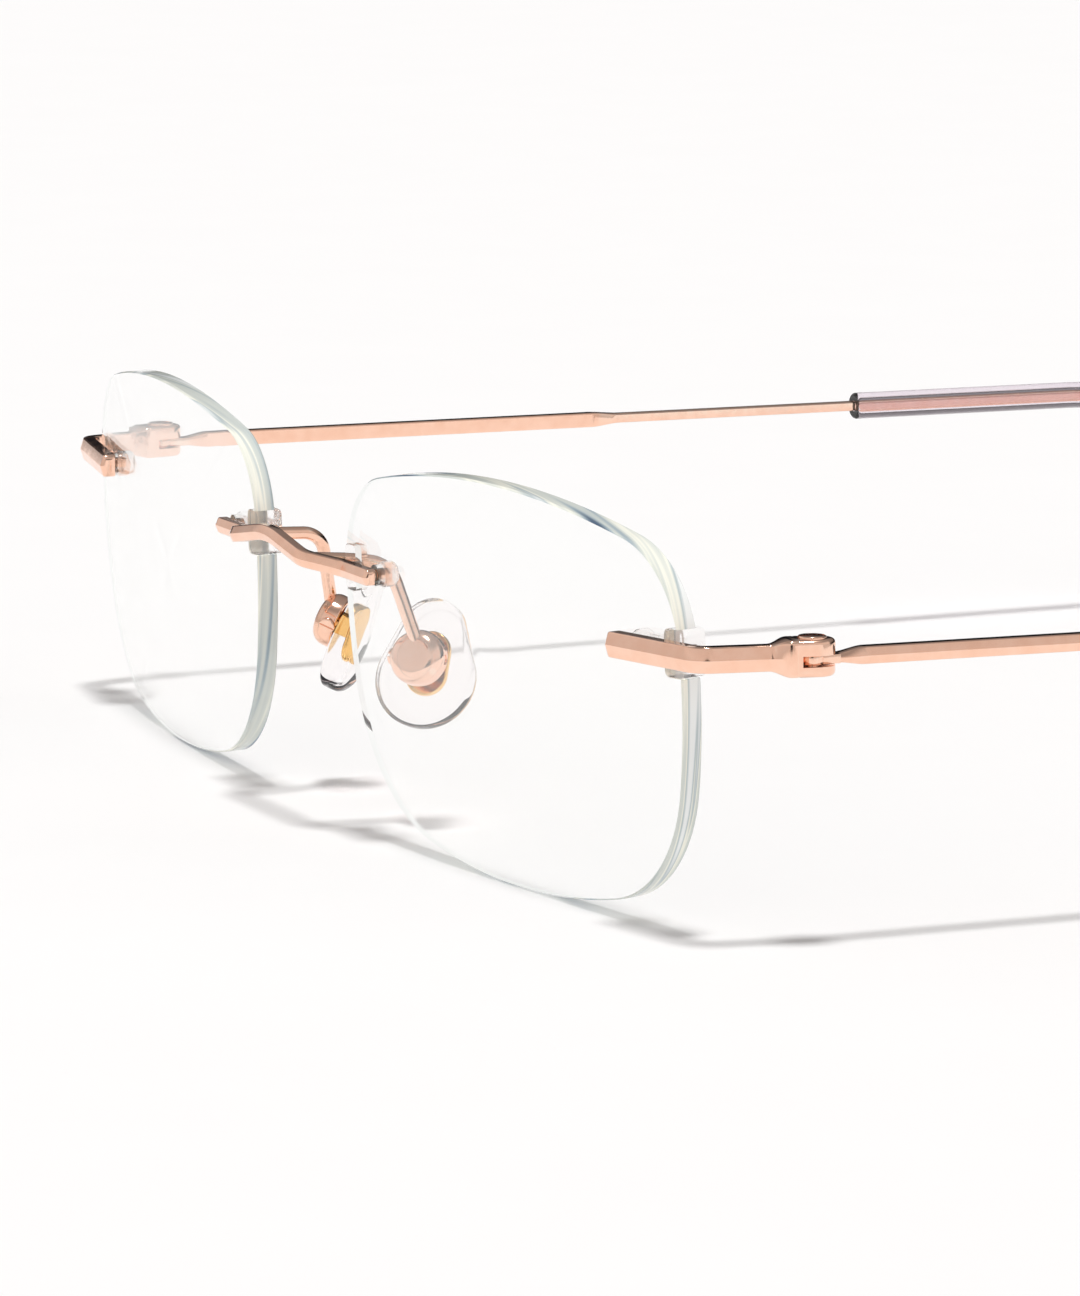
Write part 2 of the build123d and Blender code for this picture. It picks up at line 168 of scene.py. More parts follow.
class LensSizes(PropertyGroup):
    width: size("Width", "Boxed width of one lens", 49.6)
    height: size("Height", "Boxed height of one lens", 30.8)
    gap: size("Gap", "Distance between the lenses", 19.4)
    thickness: size("Thickness", "Thickness of a lens", 1.65)
    radius: size("Curve", "Radius of the front surface", 260.0)
    wrap: turn("Wrap", "How far each lens turns back towards the temple", 6.4)
    tilt: turn("Tilt", "How far the lower edge lies behind the upper edge", 3.0)
    sag: size("Sag", "How far the corners lie inside the boxed height", 3.1)
    upper_outer_inset: size("Upper outer inset", "Corner inside the boxed width", 1.3)
    lower_outer_inset: size("Lower outer inset", "Corner inside the boxed width", 3.1)
    lower_inner_inset: size("Lower inner inset", "Corner inside the boxed width", 4.3)
    upper_inner_inset: size("Upper inner inset", "Corner inside the boxed width", 0.6)
    upper_outer_radius: size("Upper outer radius", "Corner radius", 8.5)
    lower_outer_radius: size("Lower outer radius", "Corner radius", 12.0)
    lower_inner_radius: size("Lower inner radius", "Corner radius", 14.0)
    upper_inner_radius: size("Upper inner radius", "Corner radius", 7.5)
    bevel: size("Safety bevel", "Width of the polished bevel on both edges", 0.14)
    mount_height: size("Mount height", "The metal line above the middle of the lens", 5.8)
    hole_radius: size("Hole radius", "Radius of the drilled hole", 0.82)
    notch_height: size("Notch height", "Height of the edge notch", 3.6)
    notch_depth: size("Notch depth", "Depth of the edge notch", 1.9)
    notch_corner: size("Notch corner", "Corner radius of the edge notch", 0.5)
    post_edge: size("Post edge", "From the lens edge to the post in the notch", 1.0)
    end_spacing: size("End posts", "Distance between the posts of an end piece", 5.2)
    bridge_spacing: size("Bridge posts", "Distance between the posts of the bridge", 4.4)
    post_radius: size("Post radius", "Radius of a post", 0.45)
    post_proud: size("Post length", "How far a post stands out of the lens on each side", 0.6)
    post_dome: size("Post dome", "Rounding of the rear end of a post", 0.18)
    post_round: size("Post rounding", "Rounding of the front end of a post", 0.05)
    sleeve_edge: size("Sleeve edge", "Rounding of the sleeve edges", 0.06)


class BarSizes(PropertyGroup):
    seat_gap: size("Seat gap", "Between the lens and the bar in front of it", 0.08)
    edge: size("Edge", "Radius of the polished long edges", 0.15)
    tip: size("Tip", "Rounding of the free bar ends", 0.42)
    ridge: size("Ridge", "How far the front ridge of a bar stands out", 0.3)
    bridge_height: size("Bridge height", "Height of the bridge bar", 1.3)
    bridge_depth: size("Bridge depth", "Depth of the bridge bar", 1.1)
    bridge_overlap: size("Bridge overlap", "Bar on the lens, from the lens edge inwards", 6.4)
    bridge_foot: size("Bridge foot", "The bar leaves the lens this far inside its edge", 1.0)
    bridge_step: size("Bridge step", "Width of the step from the lens forward to the bow", 3.2)
    bridge_forward: size("Bridge forward", "The bow lies this far in front", 2.2)
    bridge_rise: size("Step rise", "How far each step climbs", 0.5)
    bridge_crown: size("Crown", "How far the bow climbs to its middle", 1.2)
    foot_bend: size("Foot bend", "Bend radius where the bar leaves the lens", 2.2)
    step_bend: size("Step bend", "Bend radius where the bow begins", 2.5)
    crown_bend: size("Crown bend", "Bend radius in the middle of the bow", 12.0)
    end_height: size("End height", "Height of the end piece bar", 1.92)
    end_depth: size("End depth", "Depth of the end piece bar", 1.35)
    end_overlap: size("End overlap", "Bar on the lens, from the lens edge inwards", 7.6)
    end_slope: turn("End slope", "The bar rises towards the temple", 1.2)
    corner_reach: size("Corner reach", "From the lens edge out to the corner", 3.3)
    corner_radius: size("Corner radius", "Bend radius of the end piece corner", 1.6)
    side_flare: turn("Side flare", "How far the side bar spreads", 11.5)


class HingeSizes(PropertyGroup):
    height: size("Height", "Height of the hinge block", 2.75)
    radius: size("Radius", "Half the width of the hinge block", 1.35)
    swell: size("Swell", "Length of the swell in front of the block", 1.5)
    shoulder: size("Shoulder", "Solid block in front of the slot", 0.75)
    ear_reach: size("Ear reach", "The ears end this far behind the screw", 1.7)
    slot_depth: size("Slot depth", "Slot wall in front of the screw", 1.0)
    clearance: size("Clearance", "Above and below the tongue", 0.07)
    tongue: size("Tongue", "Thickness of the temple tongue", 0.68)
    tongue_drop: size("Tongue drop", "The tongue lies below the middle of the block", 0.2)
    tongue_reach: size("Tongue reach", "Radius of the round front end of the tongue", 0.88)
    screw_radius: size("Screw radius", "Radius of the hinge screw", 0.5)
    head_radius: size("Head radius", "Radius of the screw head", 1.05)
    head_height: size("Head height", "Height of the screw head", 0.35)
    head_slot: size("Head slot", "Width of the screwdriver slot", 0.28)
    head_gap: size("Head gap", "Room round the sunk screw head", 0.03)
    head_crown: size("Head crown", "How far the top of the head bulges", 0.02)
    head_round: size("Head rounding", "Rounding of the upper edge of the head", 0.1)
    head_under: size("Head underside", "Rounding of the lower edge of the head", 0.03)
    shaft_neck: size("Shaft neck", "Rounding between the shaft and the head", 0.02)
    shaft_round: size("Shaft rounding", "Rounding of the lower end of the shaft", 0.06)
    bore_gap: size("Bore gap", "Room round the screw in the tongue", 0.04)
    edge: size("Edge", "Rounding of the block edges", 0.34)
    tongue_edge: size("Tongue edge", "Rounding of the tongue edges", 0.05)
    tongue_lap: size("Tongue lap", "The tongue runs this far into the neck of the temple", 0.15)


class TempleSizes(PropertyGroup):
    height: size("Height", "Height of the temple bar", 1.3)
    depth: size("Depth", "Depth of the temple bar", 1.3)
    drop: size("Drop", "Middle of the bar below the middle of the hinge", 0.1)
    slope: turn("Slope", "The temple falls towards the back", 0.6)
    splay: turn("Splay", "The temple spreads outwards", 1.0)
    neck_start: size("Neck start", "Start of the neck behind the screw", 1.85)
    neck_end: size("Neck end", "End of the neck behind the screw", 4.2)
    bar_end: size("Bar end", "End of the thick bar behind the screw", 41.0)
    taper: size("Taper", "Length of the taper down to the wire", 3.0)
    cover_start: size("Cover start", "Start of the clear cover behind the screw", 68.0)
    bend: turn("Bend", "Bend behind the ear", 30.0)
    bend_radius: size("Bend radius", "Radius of the bend behind the ear", 40.0)
    length: size("Length", "Length from the hinge screw to the tip", 140.0)
    lean: turn("Lean", "Inward lean of the bent end", 12.0)
    core_radius: size("Wire radius", "Radius of the wire inside the cover", 0.5)
    core_round: size("Wire rounding", "Rounding of the end of the wire", 0.3)
    core_gap: size("Wire gap", "The wire ends this far before the tip", 9.0)
    core_grip: size("Wire grip", "The bore of the cover is this much narrower than the wire", 0.01)
    cover_radius: size("Cover radius", "Radius of the clear cover", 1.2)
    cover_round: size("Cover rounding", "Rounding of the front end of the cover", 0.25)
    bore_start: size("Bore start", "The bore of the cover starts this far in front of it", 1.0)
    bore_short: size("Bore end", "The bore ends this far before the wire", 0.1)
    bar_step: size("Bar step", "Distance between the sections of the straight bar", 6.0)
    bend_step: size("Bend step", "Distance between the sections of the wire and the cover", 1.5)


class PadSizes(PropertyGroup):
    length: size("Length", "Length of a pad", 10.4)
    width: size("Width", "Width of a pad", 8.0)
    thickness: size("Thickness", "Thickness of a pad", 2.1)
    splay: turn("Splay", "The lower end spreads outwards", 22.0)
    rest: size("Rest", "From the pad screw to the back of the pad", 1.1)
    top_radius: size("Top radius", "Radius of the upper end", 2.6)
    front_round: size("Front rounding", "Rounding of the edge at the nose", 0.9)
    back_round: size("Back rounding", "Rounding of the rear edge", 0.3)
    crown: size("Crown", "How far the face bulges", 0.15)
    box_radius: size("Box radius", "Radius of the pad box", 2.2)
    box_back: size("Box back", "From the back of the box to the pad screw", 1.4)
    box_front: size("Box front", "From the pad screw to the rim", 0.5)
    box_wall: size("Box wall", "Wall of the pad box", 0.45)
    box_round: size("Box rounding", "Rounding of the closed end of the box", 1.1)
    box_floor_round: size("Box floor", "Rounding inside the closed end of the box", 0.3)
    rim_round: size("Rim rounding", "Rounding of the box rim", 0.12)
    screw_radius: size("Screw radius", "Radius of the pad screw", 0.4)
    screw_head: size("Screw head", "Radius of the pad screw head", 0.65)
    screw_slot: size("Screw slot", "Half the width of the slot in the pad screw head", 0.65 / 6)
    screw_round: size("Screw rounding", "Rounding of the pad screw head", 0.12)
    screw_end: size("Screw end", "Rounding of the end of the pad screw", 0.05)
    screw_neck: size("Screw neck", "Rounding under the pad screw head", 0.04)
    bore_gap: size("Bore gap", "Room round the screw in the lug", 0.04)
    lug_width: size("Lug width", "Width of the lug", 1.0)
    lug_radius: size("Lug radius", "Radius of the round end of the lug", 0.85)
    lug_edge: size("Lug edge", "Rounding of the lug edges", 0.1)
    lug_lap: size("Lug lap", "The lug runs this far into the plate of the insert", 0.2)
    insert_length: size("Insert length", "Length of the metal insert", 5.2)
    insert_width: size("Insert width", "Width of the metal insert", 3.4)
    insert_thickness: size("Insert thickness", "Thickness of the metal insert", 0.6)
    insert_edge: size("Insert edge", "Rounding of the insert edges", 0.12)
    insert_bed: size("Insert bed", "Pad material behind the insert", 0.6)
    arm_radius: size("Arm radius", "Radius of the pad arm", 0.52)
    arm_gap: size("Arm gap", "Arm elbow from the lens edge", 1.2)
    arm_back: size("Arm back", "How far the arm runs back before it turns down", 3.3)
    arm_bend: size("Arm bend", "Bend radius of the arm", 2.4)
    arm_depth: size("Arm depth", "The arm ends this far behind the pad screw, just inside the box", 0.84)
    arm_inset: size("Arm inset", "The arm meets the box this far inside its top", 1.2)


class Finishes(PropertyGroup):
    rose_gold: colour("Rose gold", "Colour of the plating", (1.0, 0.655, 0.50, 1))
    rose_shade: colour("Rose shade", "Colour of the plating where it is thin", (0.97, 0.60, 0.44, 1))
    rose_worn: colour("Rose worn", "Colour of the plating on handled edges", (1.0, 0.80, 0.66, 1))
    gold: colour("Gold", "Colour of the pad inserts", (0.93, 0.58, 0.22, 1))
    gold_worn: colour("Gold worn", "Colour of the insert edges", (1.0, 0.76, 0.42, 1))
    lens: colour("Lens", "Tint of the lenses", (0.995, 1.0, 0.997, 1))
    sleeve: colour("Sleeve", "Colour of the clear sleeves", (1.0, 0.99, 0.985, 1))
    tip: colour("Tip", "Colour of the clear temple tips", (0.86, 0.79, 0.85, 1))
    pad: colour("Pad", "Colour of the clear pads", (0.99, 0.965, 0.965, 1))
    metal_roughness: amount("Metal roughness", "Roughness of the polished metal", 0.09)
    lens_ior: amount("Lens index", "Refractive index of the lenses", 1.56)
    tip_ior: amount("Tip index", "Refractive index of the temple tips", 1.40)
    sleeve_ior: amount("Sleeve index", "Refractive index of the sleeves against the lens", 1.06)
    pad_ior: amount("Pad index", "Refractive index of the pads", 1.15)
    sleeve_clear: amount("Sleeve clearness", "How much light passes straight through a sleeve", 0.97)


class StageSizes(PropertyGroup):
    floor: colour("Floor", "Colour of the floor", (0.9, 0.9, 0.9, 1))
    floor_half: size("Floor half", "Half the width of the floor", 8000.0)
    floor_drop: size("Floor drop", "The floor lies this far below the glasses", 0.01)
    azimuth: turn("Azimuth", "Camera angle round the glasses", 65.818)
    elevation: turn("Elevation", "Camera angle above the floor", 9.355)
    distance: size("Distance", "Camera distance from the aimed point", 564.63)
    aim_across: size("Aim across", "Aimed point from the middle of the left lens, outwards", -14.985)
    aim_back: size("Aim back", "Aimed point from the middle of the left lens, backwards", 10.281)
    aim_up: size("Aim up", "Aimed point from the middle of the left lens, upwards", 0.017)
    focal: FloatProperty(name="Focal length", description="Camera lens", default=201.88, unit="CAMERA")
    key_strength: amount("Key light", "Strength of the overhead light", 2.25)
    key_angle: turn("Key size", "Apparent size of the overhead light", 8.0)
    sky_strength: amount("Fill light", "Strength of the light from the studio walls", 0.62)


# ---------------------------------------------------------------- shapes in space


def plane(origin, x_dir, z_dir):
    """Matrix of a plane from its origin, its x direction and its normal."""
    normal = Vector(z_dir).normalized()
    y_dir = normal.cross(Vector(x_dir)).normalized()
    place = Matrix((y_dir.cross(normal), y_dir, normal)).transposed().to_4x4()
    place.translation = origin
    return place


def blend(first, last, share):
    """Number that lies between two numbers."""
    return first + (last - first) * share


def eased(share):
    """Share that starts and ends gently."""
    return share * share * (3 - 2 * share)


def between(start, end, share, angle):
    """Point on the arc from start to end, both seen from its centre."""
    return (start * sin((1 - share) * angle) + end * sin(share * angle)) / sin(angle)


def rounded(points, radii, closed=False, steps=6):
    """Points of a polyline whose corners are turned into arcs."""
    line = []
    for i, corner in enumerate(points):
        if not closed and i in (0, len(points) - 1):
            line.append(corner.copy())
            continue
        back = (points[i - 1] - corner).normalized()
        ahead = (points[(i + 1) % len(points)] - corner).normalized()
        angle = pi - back.angle(ahead)
        reach = radii[i] * tan(angle / 2)
        centre = corner + (back + ahead).normalized() * (radii[i] / cos(angle / 2))
        start = corner + back * reach - centre
        end = corner + ahead * reach - centre
        line += [centre + between(start, end, k / steps, angle) for k in range(steps + 1)]
    return line


def bar_outline(height, depth, ridge, edge):
    """Bar section: flat back, top and bottom, and two front facets. x is up and y is outward."""
    front = depth / 2 - ridge
    corners = [
        (-height / 2, -depth / 2),
        (height / 2, -depth / 2),
        (height / 2, front),
        (0, depth / 2),
        (-height / 2, front),
    ]
    return rounded([Vector(corner) for corner in corners], [edge] * len(corners), closed=True, steps=3)


def round_outline(like, radius):
    """Round section with one point for each point of another outline."""
    angles = [atan2(point.y, point.x) for point in like]
    return [Vector((radius * cos(angle), radius * sin(angle))) for angle in angles]


def arc_points(radius, first, last, count):
    """Points of an arc about the origin, from one angle to another."""
    angles = [blend(first, last, k / count) for k in range(count + 1)]
    return [Vector((radius * cos(angle), radius * sin(angle))) for angle in angles]


def circle_outline(radius, count):
    """Round section with evenly spaced points."""
    return arc_points(radius, 0, 2 * pi, count)[:-1]


def rectangle(near, far, half):
    """Rectangle that lies evenly about the x axis."""
    return [Vector(corner) for corner in ((near, -half), (far, -half), (far, half), (near, half))]


def directions(path):
    """Direction of travel at each point of a path."""
    steps = [(b - a).normalized() for a, b in zip(path, path[1:])]
    inner = [(a + b).normalized() for a, b in zip(steps, steps[1:])]
    return [steps[0], *inner, steps[-1]]


def wall(shape, loops):
    """Faces between rings of corners that follow one another."""
    for low, high in zip(loops, loops[1:]):
        for i in range(len(low)):
            j = (i + 1) % len(low)
            shape.faces.new((low[i], low[j], high[j], high[i]))


def skin(rings):
    """Closed shell through rings that all have the same number of points."""
    shape = bmesh.new()
    loops = [[shape.verts.new(point) for point in ring] for ring in rings]
    wall(shape, loops)
    shape.faces.new(reversed(loops[0]))
    shape.faces.new(loops[-1])
    bmesh.ops.recalc_face_normals(shape, faces=shape.faces)
    return shape


def swept(path, outlines, start_round=0.0, end_round=0.0, steps=5):
    """Bar along a path. outlines has one section for each point of the path.

    A round end keeps the full length: the section shrinks over its last stretch.
    """
    ways = directions(path)
    path = list(path)
    path[0] = path[0] + ways[0] * start_round
    path[-1] = path[-1] - ways[-1] * end_round
    stations = list(zip(path, ways, outlines, [0.0] * len(path)))
    for radius, index, sense in ((start_round, 0, -1), (end_round, -1, 1)):
        if radius:
            place, way, outline, _ = stations[index]
            extra = []
            for k in range(1, steps + 1):
                angle = pi / 2 * k / steps
                moved = place + way * (sense * radius * sin(angle))
                extra.append((moved, way, outline, radius * (1 - cos(angle))))
            stations = extra[::-1] + stations if sense < 0 else stations + extra
    thinnest = 0.02
    rings = []
    for place, way, outline, inset in stations:
        x_dir = (UP - way * UP.dot(way)).normalized()
        y_dir = way.cross(x_dir)
        wide = max(point.x for point in outline)
        deep = max(abs(point.y) for point in outline)
        narrow = max(thinnest, 1 - inset / wide)
        thin = max(thinnest, 1 - inset / deep)
        rings.append([place + x_dir * point.x * narrow + y_dir * point.y * thin for point in outline])
    return skin(rings)


def lathed(outline, place, count=48):
    """Turned solid from (radius, height) points, on the normal of a plane."""
    shape = bmesh.new()
    loops = []
    for radius, height in outline:
        if radius == 0:
            loops.append([shape.verts.new(place @ Vector((0, 0, height)))])
            continue
        circle = circle_outline(radius, count)
        loops.append([shape.verts.new(place @ Vector((*point, height))) for point in circle])
    for low, high in zip(loops, loops[1:]):
        for i in range(count):
            j = (i + 1) % count
            corners = [low[i % len(low)], low[j % len(low)], high[j % len(high)], high[i % len(high)]]
            shape.faces.new(list(dict.fromkeys(corners)))
    bmesh.ops.recalc_face_normals(shape, faces=shape.faces)
    return shape


def turned(corners, radii, steps=4):
    """(radius, height) points of a turned outline with rounded corners."""
    line = rounded([Vector(corner) for corner in corners], radii, steps=steps)
    return [(max(0.0, point.x), point.y) for point in line]


def prism(outline, place, low, high, edge=0.0):
    """Straight solid over an outline between two heights, with its edges rounded."""
    rings = [[place @ Vector((*point, height)) for point in outline] for height in (low, high)]
    shape = skin(rings)
    if edge:
        ends = [face for face in shape.faces if len(face.verts) == len(outline)]
        rims = {rim for face in ends for rim in face.edges}
        bmesh.ops.bevel(shape, geom=list(rims), offset=edge, segments=3, profile=0.5, affect="EDGES")
    return shape


def bore(radius, place, reach, count):
    """Round cutter that reaches equally far on both sides of a plane."""
    return prism(circle_outline(radius, count), place, -reach, reach)


def joined(*shapes):
    """One shape that holds several closed shells."""
    whole = bmesh.new()
    for shape in shapes:
        part = bpy.data.meshes.new("part")
        shape.to_mesh(part)
        whole.from_mesh(part)
        bpy.data.meshes.remove(part)
        shape.free()
    return whole


def combined(base, tools, operation):
    """Base joined with or cut by other closed shapes."""
    objects = []
    for shape in (base, *tools):
        mesh = bpy.data.meshes.new("work")
        bmesh.ops.recalc_face_normals(shape, faces=shape.faces)
        shape.to_mesh(mesh)
        shape.free()
        obj = bpy.data.objects.new("work", mesh)
        bpy.context.scene.collection.objects.link(obj)
        objects.append(obj)
    for tool in objects[1:]:
        step = objects[0].modifiers.new("step", "BOOLEAN")
        step.operation = operation
        step.solver = "EXACT"
        step.object = tool
    bpy.context.view_layer.update()
    graph = bpy.context.evaluated_depsgraph_get()
    result = bpy.data.meshes.new_from_object(objects[0].evaluated_get(graph))
    shape = bmesh.new()
    shape.from_mesh(result)
    bpy.data.meshes.remove(result)
    for obj in objects:
        mesh = obj.data
        bpy.data.objects.remove(obj)
        bpy.data.meshes.remove(mesh)
    if not shape.faces:
        raise RuntimeError("a cut left nothing of a piece")
    return shape


def add_piece(name, shape, body, slot, sharp=32.0, extra=()):
    """Puts a shape in the scene as one piece that stands for its CAD node."""
    mesh = bpy.data.meshes.new(name)
    shape.to_mesh(mesh)
    mesh.polygons.foreach_set("use_smooth", [True] * len(mesh.polygons))
    mesh.set_sharp_from_angle(angle=radians(sharp))
    piece = bpy.data.objects.new(name + "_shape", mesh)
    bpy.context.scene.collection.objects.link(piece)
    for material in (finish(slot), *extra):
        piece.data.materials.append(material)
    weighted = piece.modifiers.new("even shading", "WEIGHTED_NORMAL")
    weighted.keep_sharp = True
    weighted.weight = 60
    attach(piece, body)
    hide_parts(name)
    return piece


def add_pair(name, shape, body, slot, sharp=32.0, extra=()):
    """Adds the left piece and its mirror image. body may hold {side}."""
    add_piece(name + "_left", shape, body.format(side="left"), slot, sharp, extra)
    bmesh.ops.scale(shape, vec=(-1, 1, 1), verts=shape.verts)
    bmesh.ops.reverse_faces(shape, faces=shape.faces)
    add_piece(name + "_right", shape, body.format(side="right"), slot, sharp, extra)
    shape.free()


def refined(node, edge):
    """Shape of a CAD node with whole flat faces and rounded edges."""
    same_corner, flat, sharp_angle = 0.0005 * MM, radians(1.0), radians(38)
    shape = bmesh.new()
    shape.from_mesh(frame["nodes"][node].data)
    bmesh.ops.remove_doubles(shape, verts=shape.verts, dist=same_corner)
    bmesh.ops.dissolve_limit(shape, angle_limit=flat, verts=shape.verts, edges=shape.edges)
    sharp = [rim for rim in shape.edges if rim.is_manifold and rim.calc_face_angle() > sharp_angle]
    bmesh.ops.bevel(
        shape, geom=sharp, offset=edge, segments=2, profile=0.5, affect="EDGES", clamp_overlap=True,
    )
    return shape


# ---------------------------------------------------------------- places worked out from the sizes


def circle_through(a, b, c):
    """Centre and radius of the circle through three points."""
    along, across = b - a, c - a
    twice = 2 * (along.x * across.y - along.y * across.x)
    u, v = along.length_squared, across.length_squared
    middle = Vector(((across.y * u - along.y * v) / twice, (along.x * v - across.x * u) / twice))
    return a + middle, middle.length


def lens_outline(lens, steps=24):
    """Lens shape: four shallow arcs that meet in four rounded corners."""
    half_width, half_height = lens.width / 2, lens.height / 2
    corners = [
        Vector((half_width - lens.upper_outer_inset, half_height - lens.sag)),
        Vector((half_width - lens.lower_outer_inset, lens.sag - half_height)),
        Vector((lens.lower_inner_inset - half_width, lens.sag - half_height)),
        Vector((lens.upper_inner_inset - half_width, half_height - lens.sag)),
    ]
    middles = [(half_width, 0), (0, -half_height), (-half_width, 0), (0, half_height)]
    radii = [
        lens.upper_outer_radius,
        lens.lower_outer_radius,
        lens.lower_inner_radius,
        lens.upper_inner_radius,
    ]
    sides = [circle_through(corners[i], Vector(middles[i]), corners[(i + 1) % 4]) for i in range(4)]
    centres = []
    for i in range(4):
        (first, first_radius), (second, second_radius) = sides[i - 1], sides[i]
        a, b = first_radius - radii[i], second_radius - radii[i]
        span = second - first
        share = (a * a - b * b + span.length_squared) / (2 * span.length)
        off = sqrt(a * a - share * share)
        foot = first + span.normalized() * share
        side = Vector((-span.y, span.x)).normalized() * off
        centres.append(min((foot + side, foot - side), key=lambda place: (place - corners[i]).length))
    points = []
    for i in range(4):
        j = (i + 1) % 4
        before, after = sides[i - 1][0], sides[i][0]
        start = (centres[i] - before).normalized() * radii[i]
        end = (centres[i] - after).normalized() * radii[i]
        angle = start.angle(end)
        points += [centres[i] + between(start, end, k / steps, angle) for k in range(steps)]
        start = centres[i] + end - after
        end = centres[j] + (centres[j] - after).normalized() * radii[j] - after
        angle = start.angle(end)
        points += [after + between(start, end, k / steps, angle) for k in range(steps)]
    return points


def dome(lens, x, y, radius):
    """Depth of a lens surface behind the front middle, at one point."""
    return sqrt(radius * radius - x * x - y * y) - lens.radius


def lens_place(lens):
    """Plane of the left lens. It is moved back or forward until the front of the lens meets the front of the
    box of its CAD node.
    """
    normal = Vector((sin(lens.wrap) * cos(lens.tilt), -cos(lens.wrap) * cos(lens.tilt), -sin(lens.tilt)))
    middle = Vector((lens.gap / 2 + lens.width / 2 * cos(lens.wrap), 0, lens.height / 2 * cos(lens.tilt)))
    place = plane(middle, (cos(lens.wrap), sin(lens.wrap), 0), normal)
    front = [place @ Vector((p.x, p.y, dome(lens, p.x, p.y, lens.radius))) for p in lens_outline(lens)]
    place.translation.y += LENS_LOW.y - min(point.y for point in front)
    return place


def edge_reach(lens, side):
    """Distance from the middle of the lens to its edge at the metal line, on one side."""
    rise = lens.mount_height / cos(lens.tilt)
    outline = lens_outline(lens)
    reach = 0.0
    for a, b in zip(outline, outline[1:] + outline[:1]):
        if min(a.y, b.y) <= rise < max(a.y, b.y):
            x = a.x + (b.x - a.x) * (rise - a.y) / (b.y - a.y)
            reach = max(reach, x * side)
    return reach


def lens_front(lens, side, inset):
    """Point on the lens front at the metal line. side is 1 at the temple and -1 at the nose."""
    across = side * (edge_reach(lens, side) - inset)
    rise = lens.mount_height / cos(lens.tilt)
    return lens_place(lens) @ Vector((across, rise, dome(lens, across, rise, lens.radius)))


def seat(lens, side):
    """Plane on the lens front at the drilled hole. x points to the near lens edge."""
    spacing = lens.end_spacing if side > 0 else lens.bridge_spacing
    point = lens_front(lens, side, lens.post_edge + spacing)
    normal = (point - lens_place(lens) @ Vector((0, 0, -lens.radius))).normalized()
    return plane(point, UP.cross(normal) * side, normal)


def metal_line(lens):
    """Height of the metal line."""
    return lens_place(lens).translation.z + lens.mount_height


def bow_points(lens, bars):
    """Left half of the bridge line, from its tip on the lens to the start of the bow."""
    edge = lens_front(lens, -1, 0)
    back = edge.y - bars.seat_gap - bars.bridge_depth / 2
    line = metal_line(lens)
    foot = Vector((edge.x + bars.bridge_foot, back, line))
    return [
        Vector((edge.x + bars.bridge_overlap, back, line)),
        foot,
        foot + Vector((-bars.bridge_step, -bars.bridge_forward, bars.bridge_rise)),
    ]


def side_way(bars):
    """Direction of the side bar of the left end piece."""
    return Vector((sin(bars.side_flare), cos(bars.side_flare), 0))


def pad_place(pads):
    """Plane of the left pad box: the normal points at the nose, x along the pad screw, y down."""
    pad_out = Vector((PAD_AXIS.y, -PAD_AXIS.x, 0))
    normal = -(pad_out * cos(pads.splay) + UP * sin(pads.splay))
    return plane(PAD_PIVOT, PAD_AXIS, normal)


# ---------------------------------------------------------------- finishes


def new_group(name, inputs, outputs):
    """Empty shader node group with named sockets, its input and its output node."""
    group = bpy.data.node_groups.new(name, "ShaderNodeTree")
    for socket, kind, default in inputs:
        made = group.interface.new_socket(name=socket, in_out="INPUT", socket_type=kind)
        made.default_value = default
    for socket, kind in outputs:
        group.interface.new_socket(name=socket, in_out="OUTPUT", socket_type=kind)
    return group, group.nodes.new("NodeGroupInput"), group.nodes.new("NodeGroupOutput")


def node(tree, kind, settings=None, inputs=None):
    """New node with its settings, its plain input values and its links."""
    made = tree.nodes.new(kind)
    for name, value in (settings or {}).items():
        setattr(made, name, value)
    for name, value in (inputs or {}).items():
        if isinstance(value, bpy.types.NodeSocket):
            tree.links.new(value, made.inputs[name])
        else:
            made.inputs[name].default_value = value
    return made


def polish_group():
    """Fine polishing marks and soft handling marks, for every finish."""
    if "polish" in bpy.data.node_groups:
        return bpy.data.node_groups["polish"]
    group, given, result = new_group(
        "polish",
        [
            ("Roughness", "NodeSocketFloat", 0.1),
            ("Spread", "NodeSocketFloat", 0.05),
            ("Mark size", "NodeSocketFloat", 900.0),
            ("Fine size", "NodeSocketFloat", 9000.0),
        ],
        [("Roughness", "NodeSocketFloat"), ("Height", "NodeSocketFloat"), ("Mask", "NodeSocketFloat")],
    )
    where = node(group, "ShaderNodeTexCoord").outputs["Object"]
    marks = node(group, "ShaderNodeTexNoise", inputs={
        "Vector": where, "Scale": given.outputs["Mark size"], "Detail": 4.0, "Roughness": 0.55,
    })
    mask = node(group, "ShaderNodeMapRange", inputs={
        "Value": marks.outputs["Fac"], "From Min": 0.35, "From Max": 0.68,
    })
    stretched = node(group, "ShaderNodeMapping", inputs={"Vector": where, "Scale": (1.0, 0.12, 0.6)})
    fine = node(group, "ShaderNodeTexNoise", inputs={
        "Vector": stretched.outputs["Vector"], "Scale": given.outputs["Fine size"], "Detail": 3.0,
    })
    rough = node(group, "ShaderNodeMath", {"operation": "MULTIPLY_ADD"}, {
        0: mask.outputs["Result"], 1: given.outputs["Spread"], 2: given.outputs["Roughness"],
    })
    group.links.new(rough.outputs["Value"], result.inputs["Roughness"])
    group.links.new(fine.outputs["Fac"], result.inputs["Height"])
    group.links.new(mask.outputs["Result"], result.inputs["Mask"])
    return group


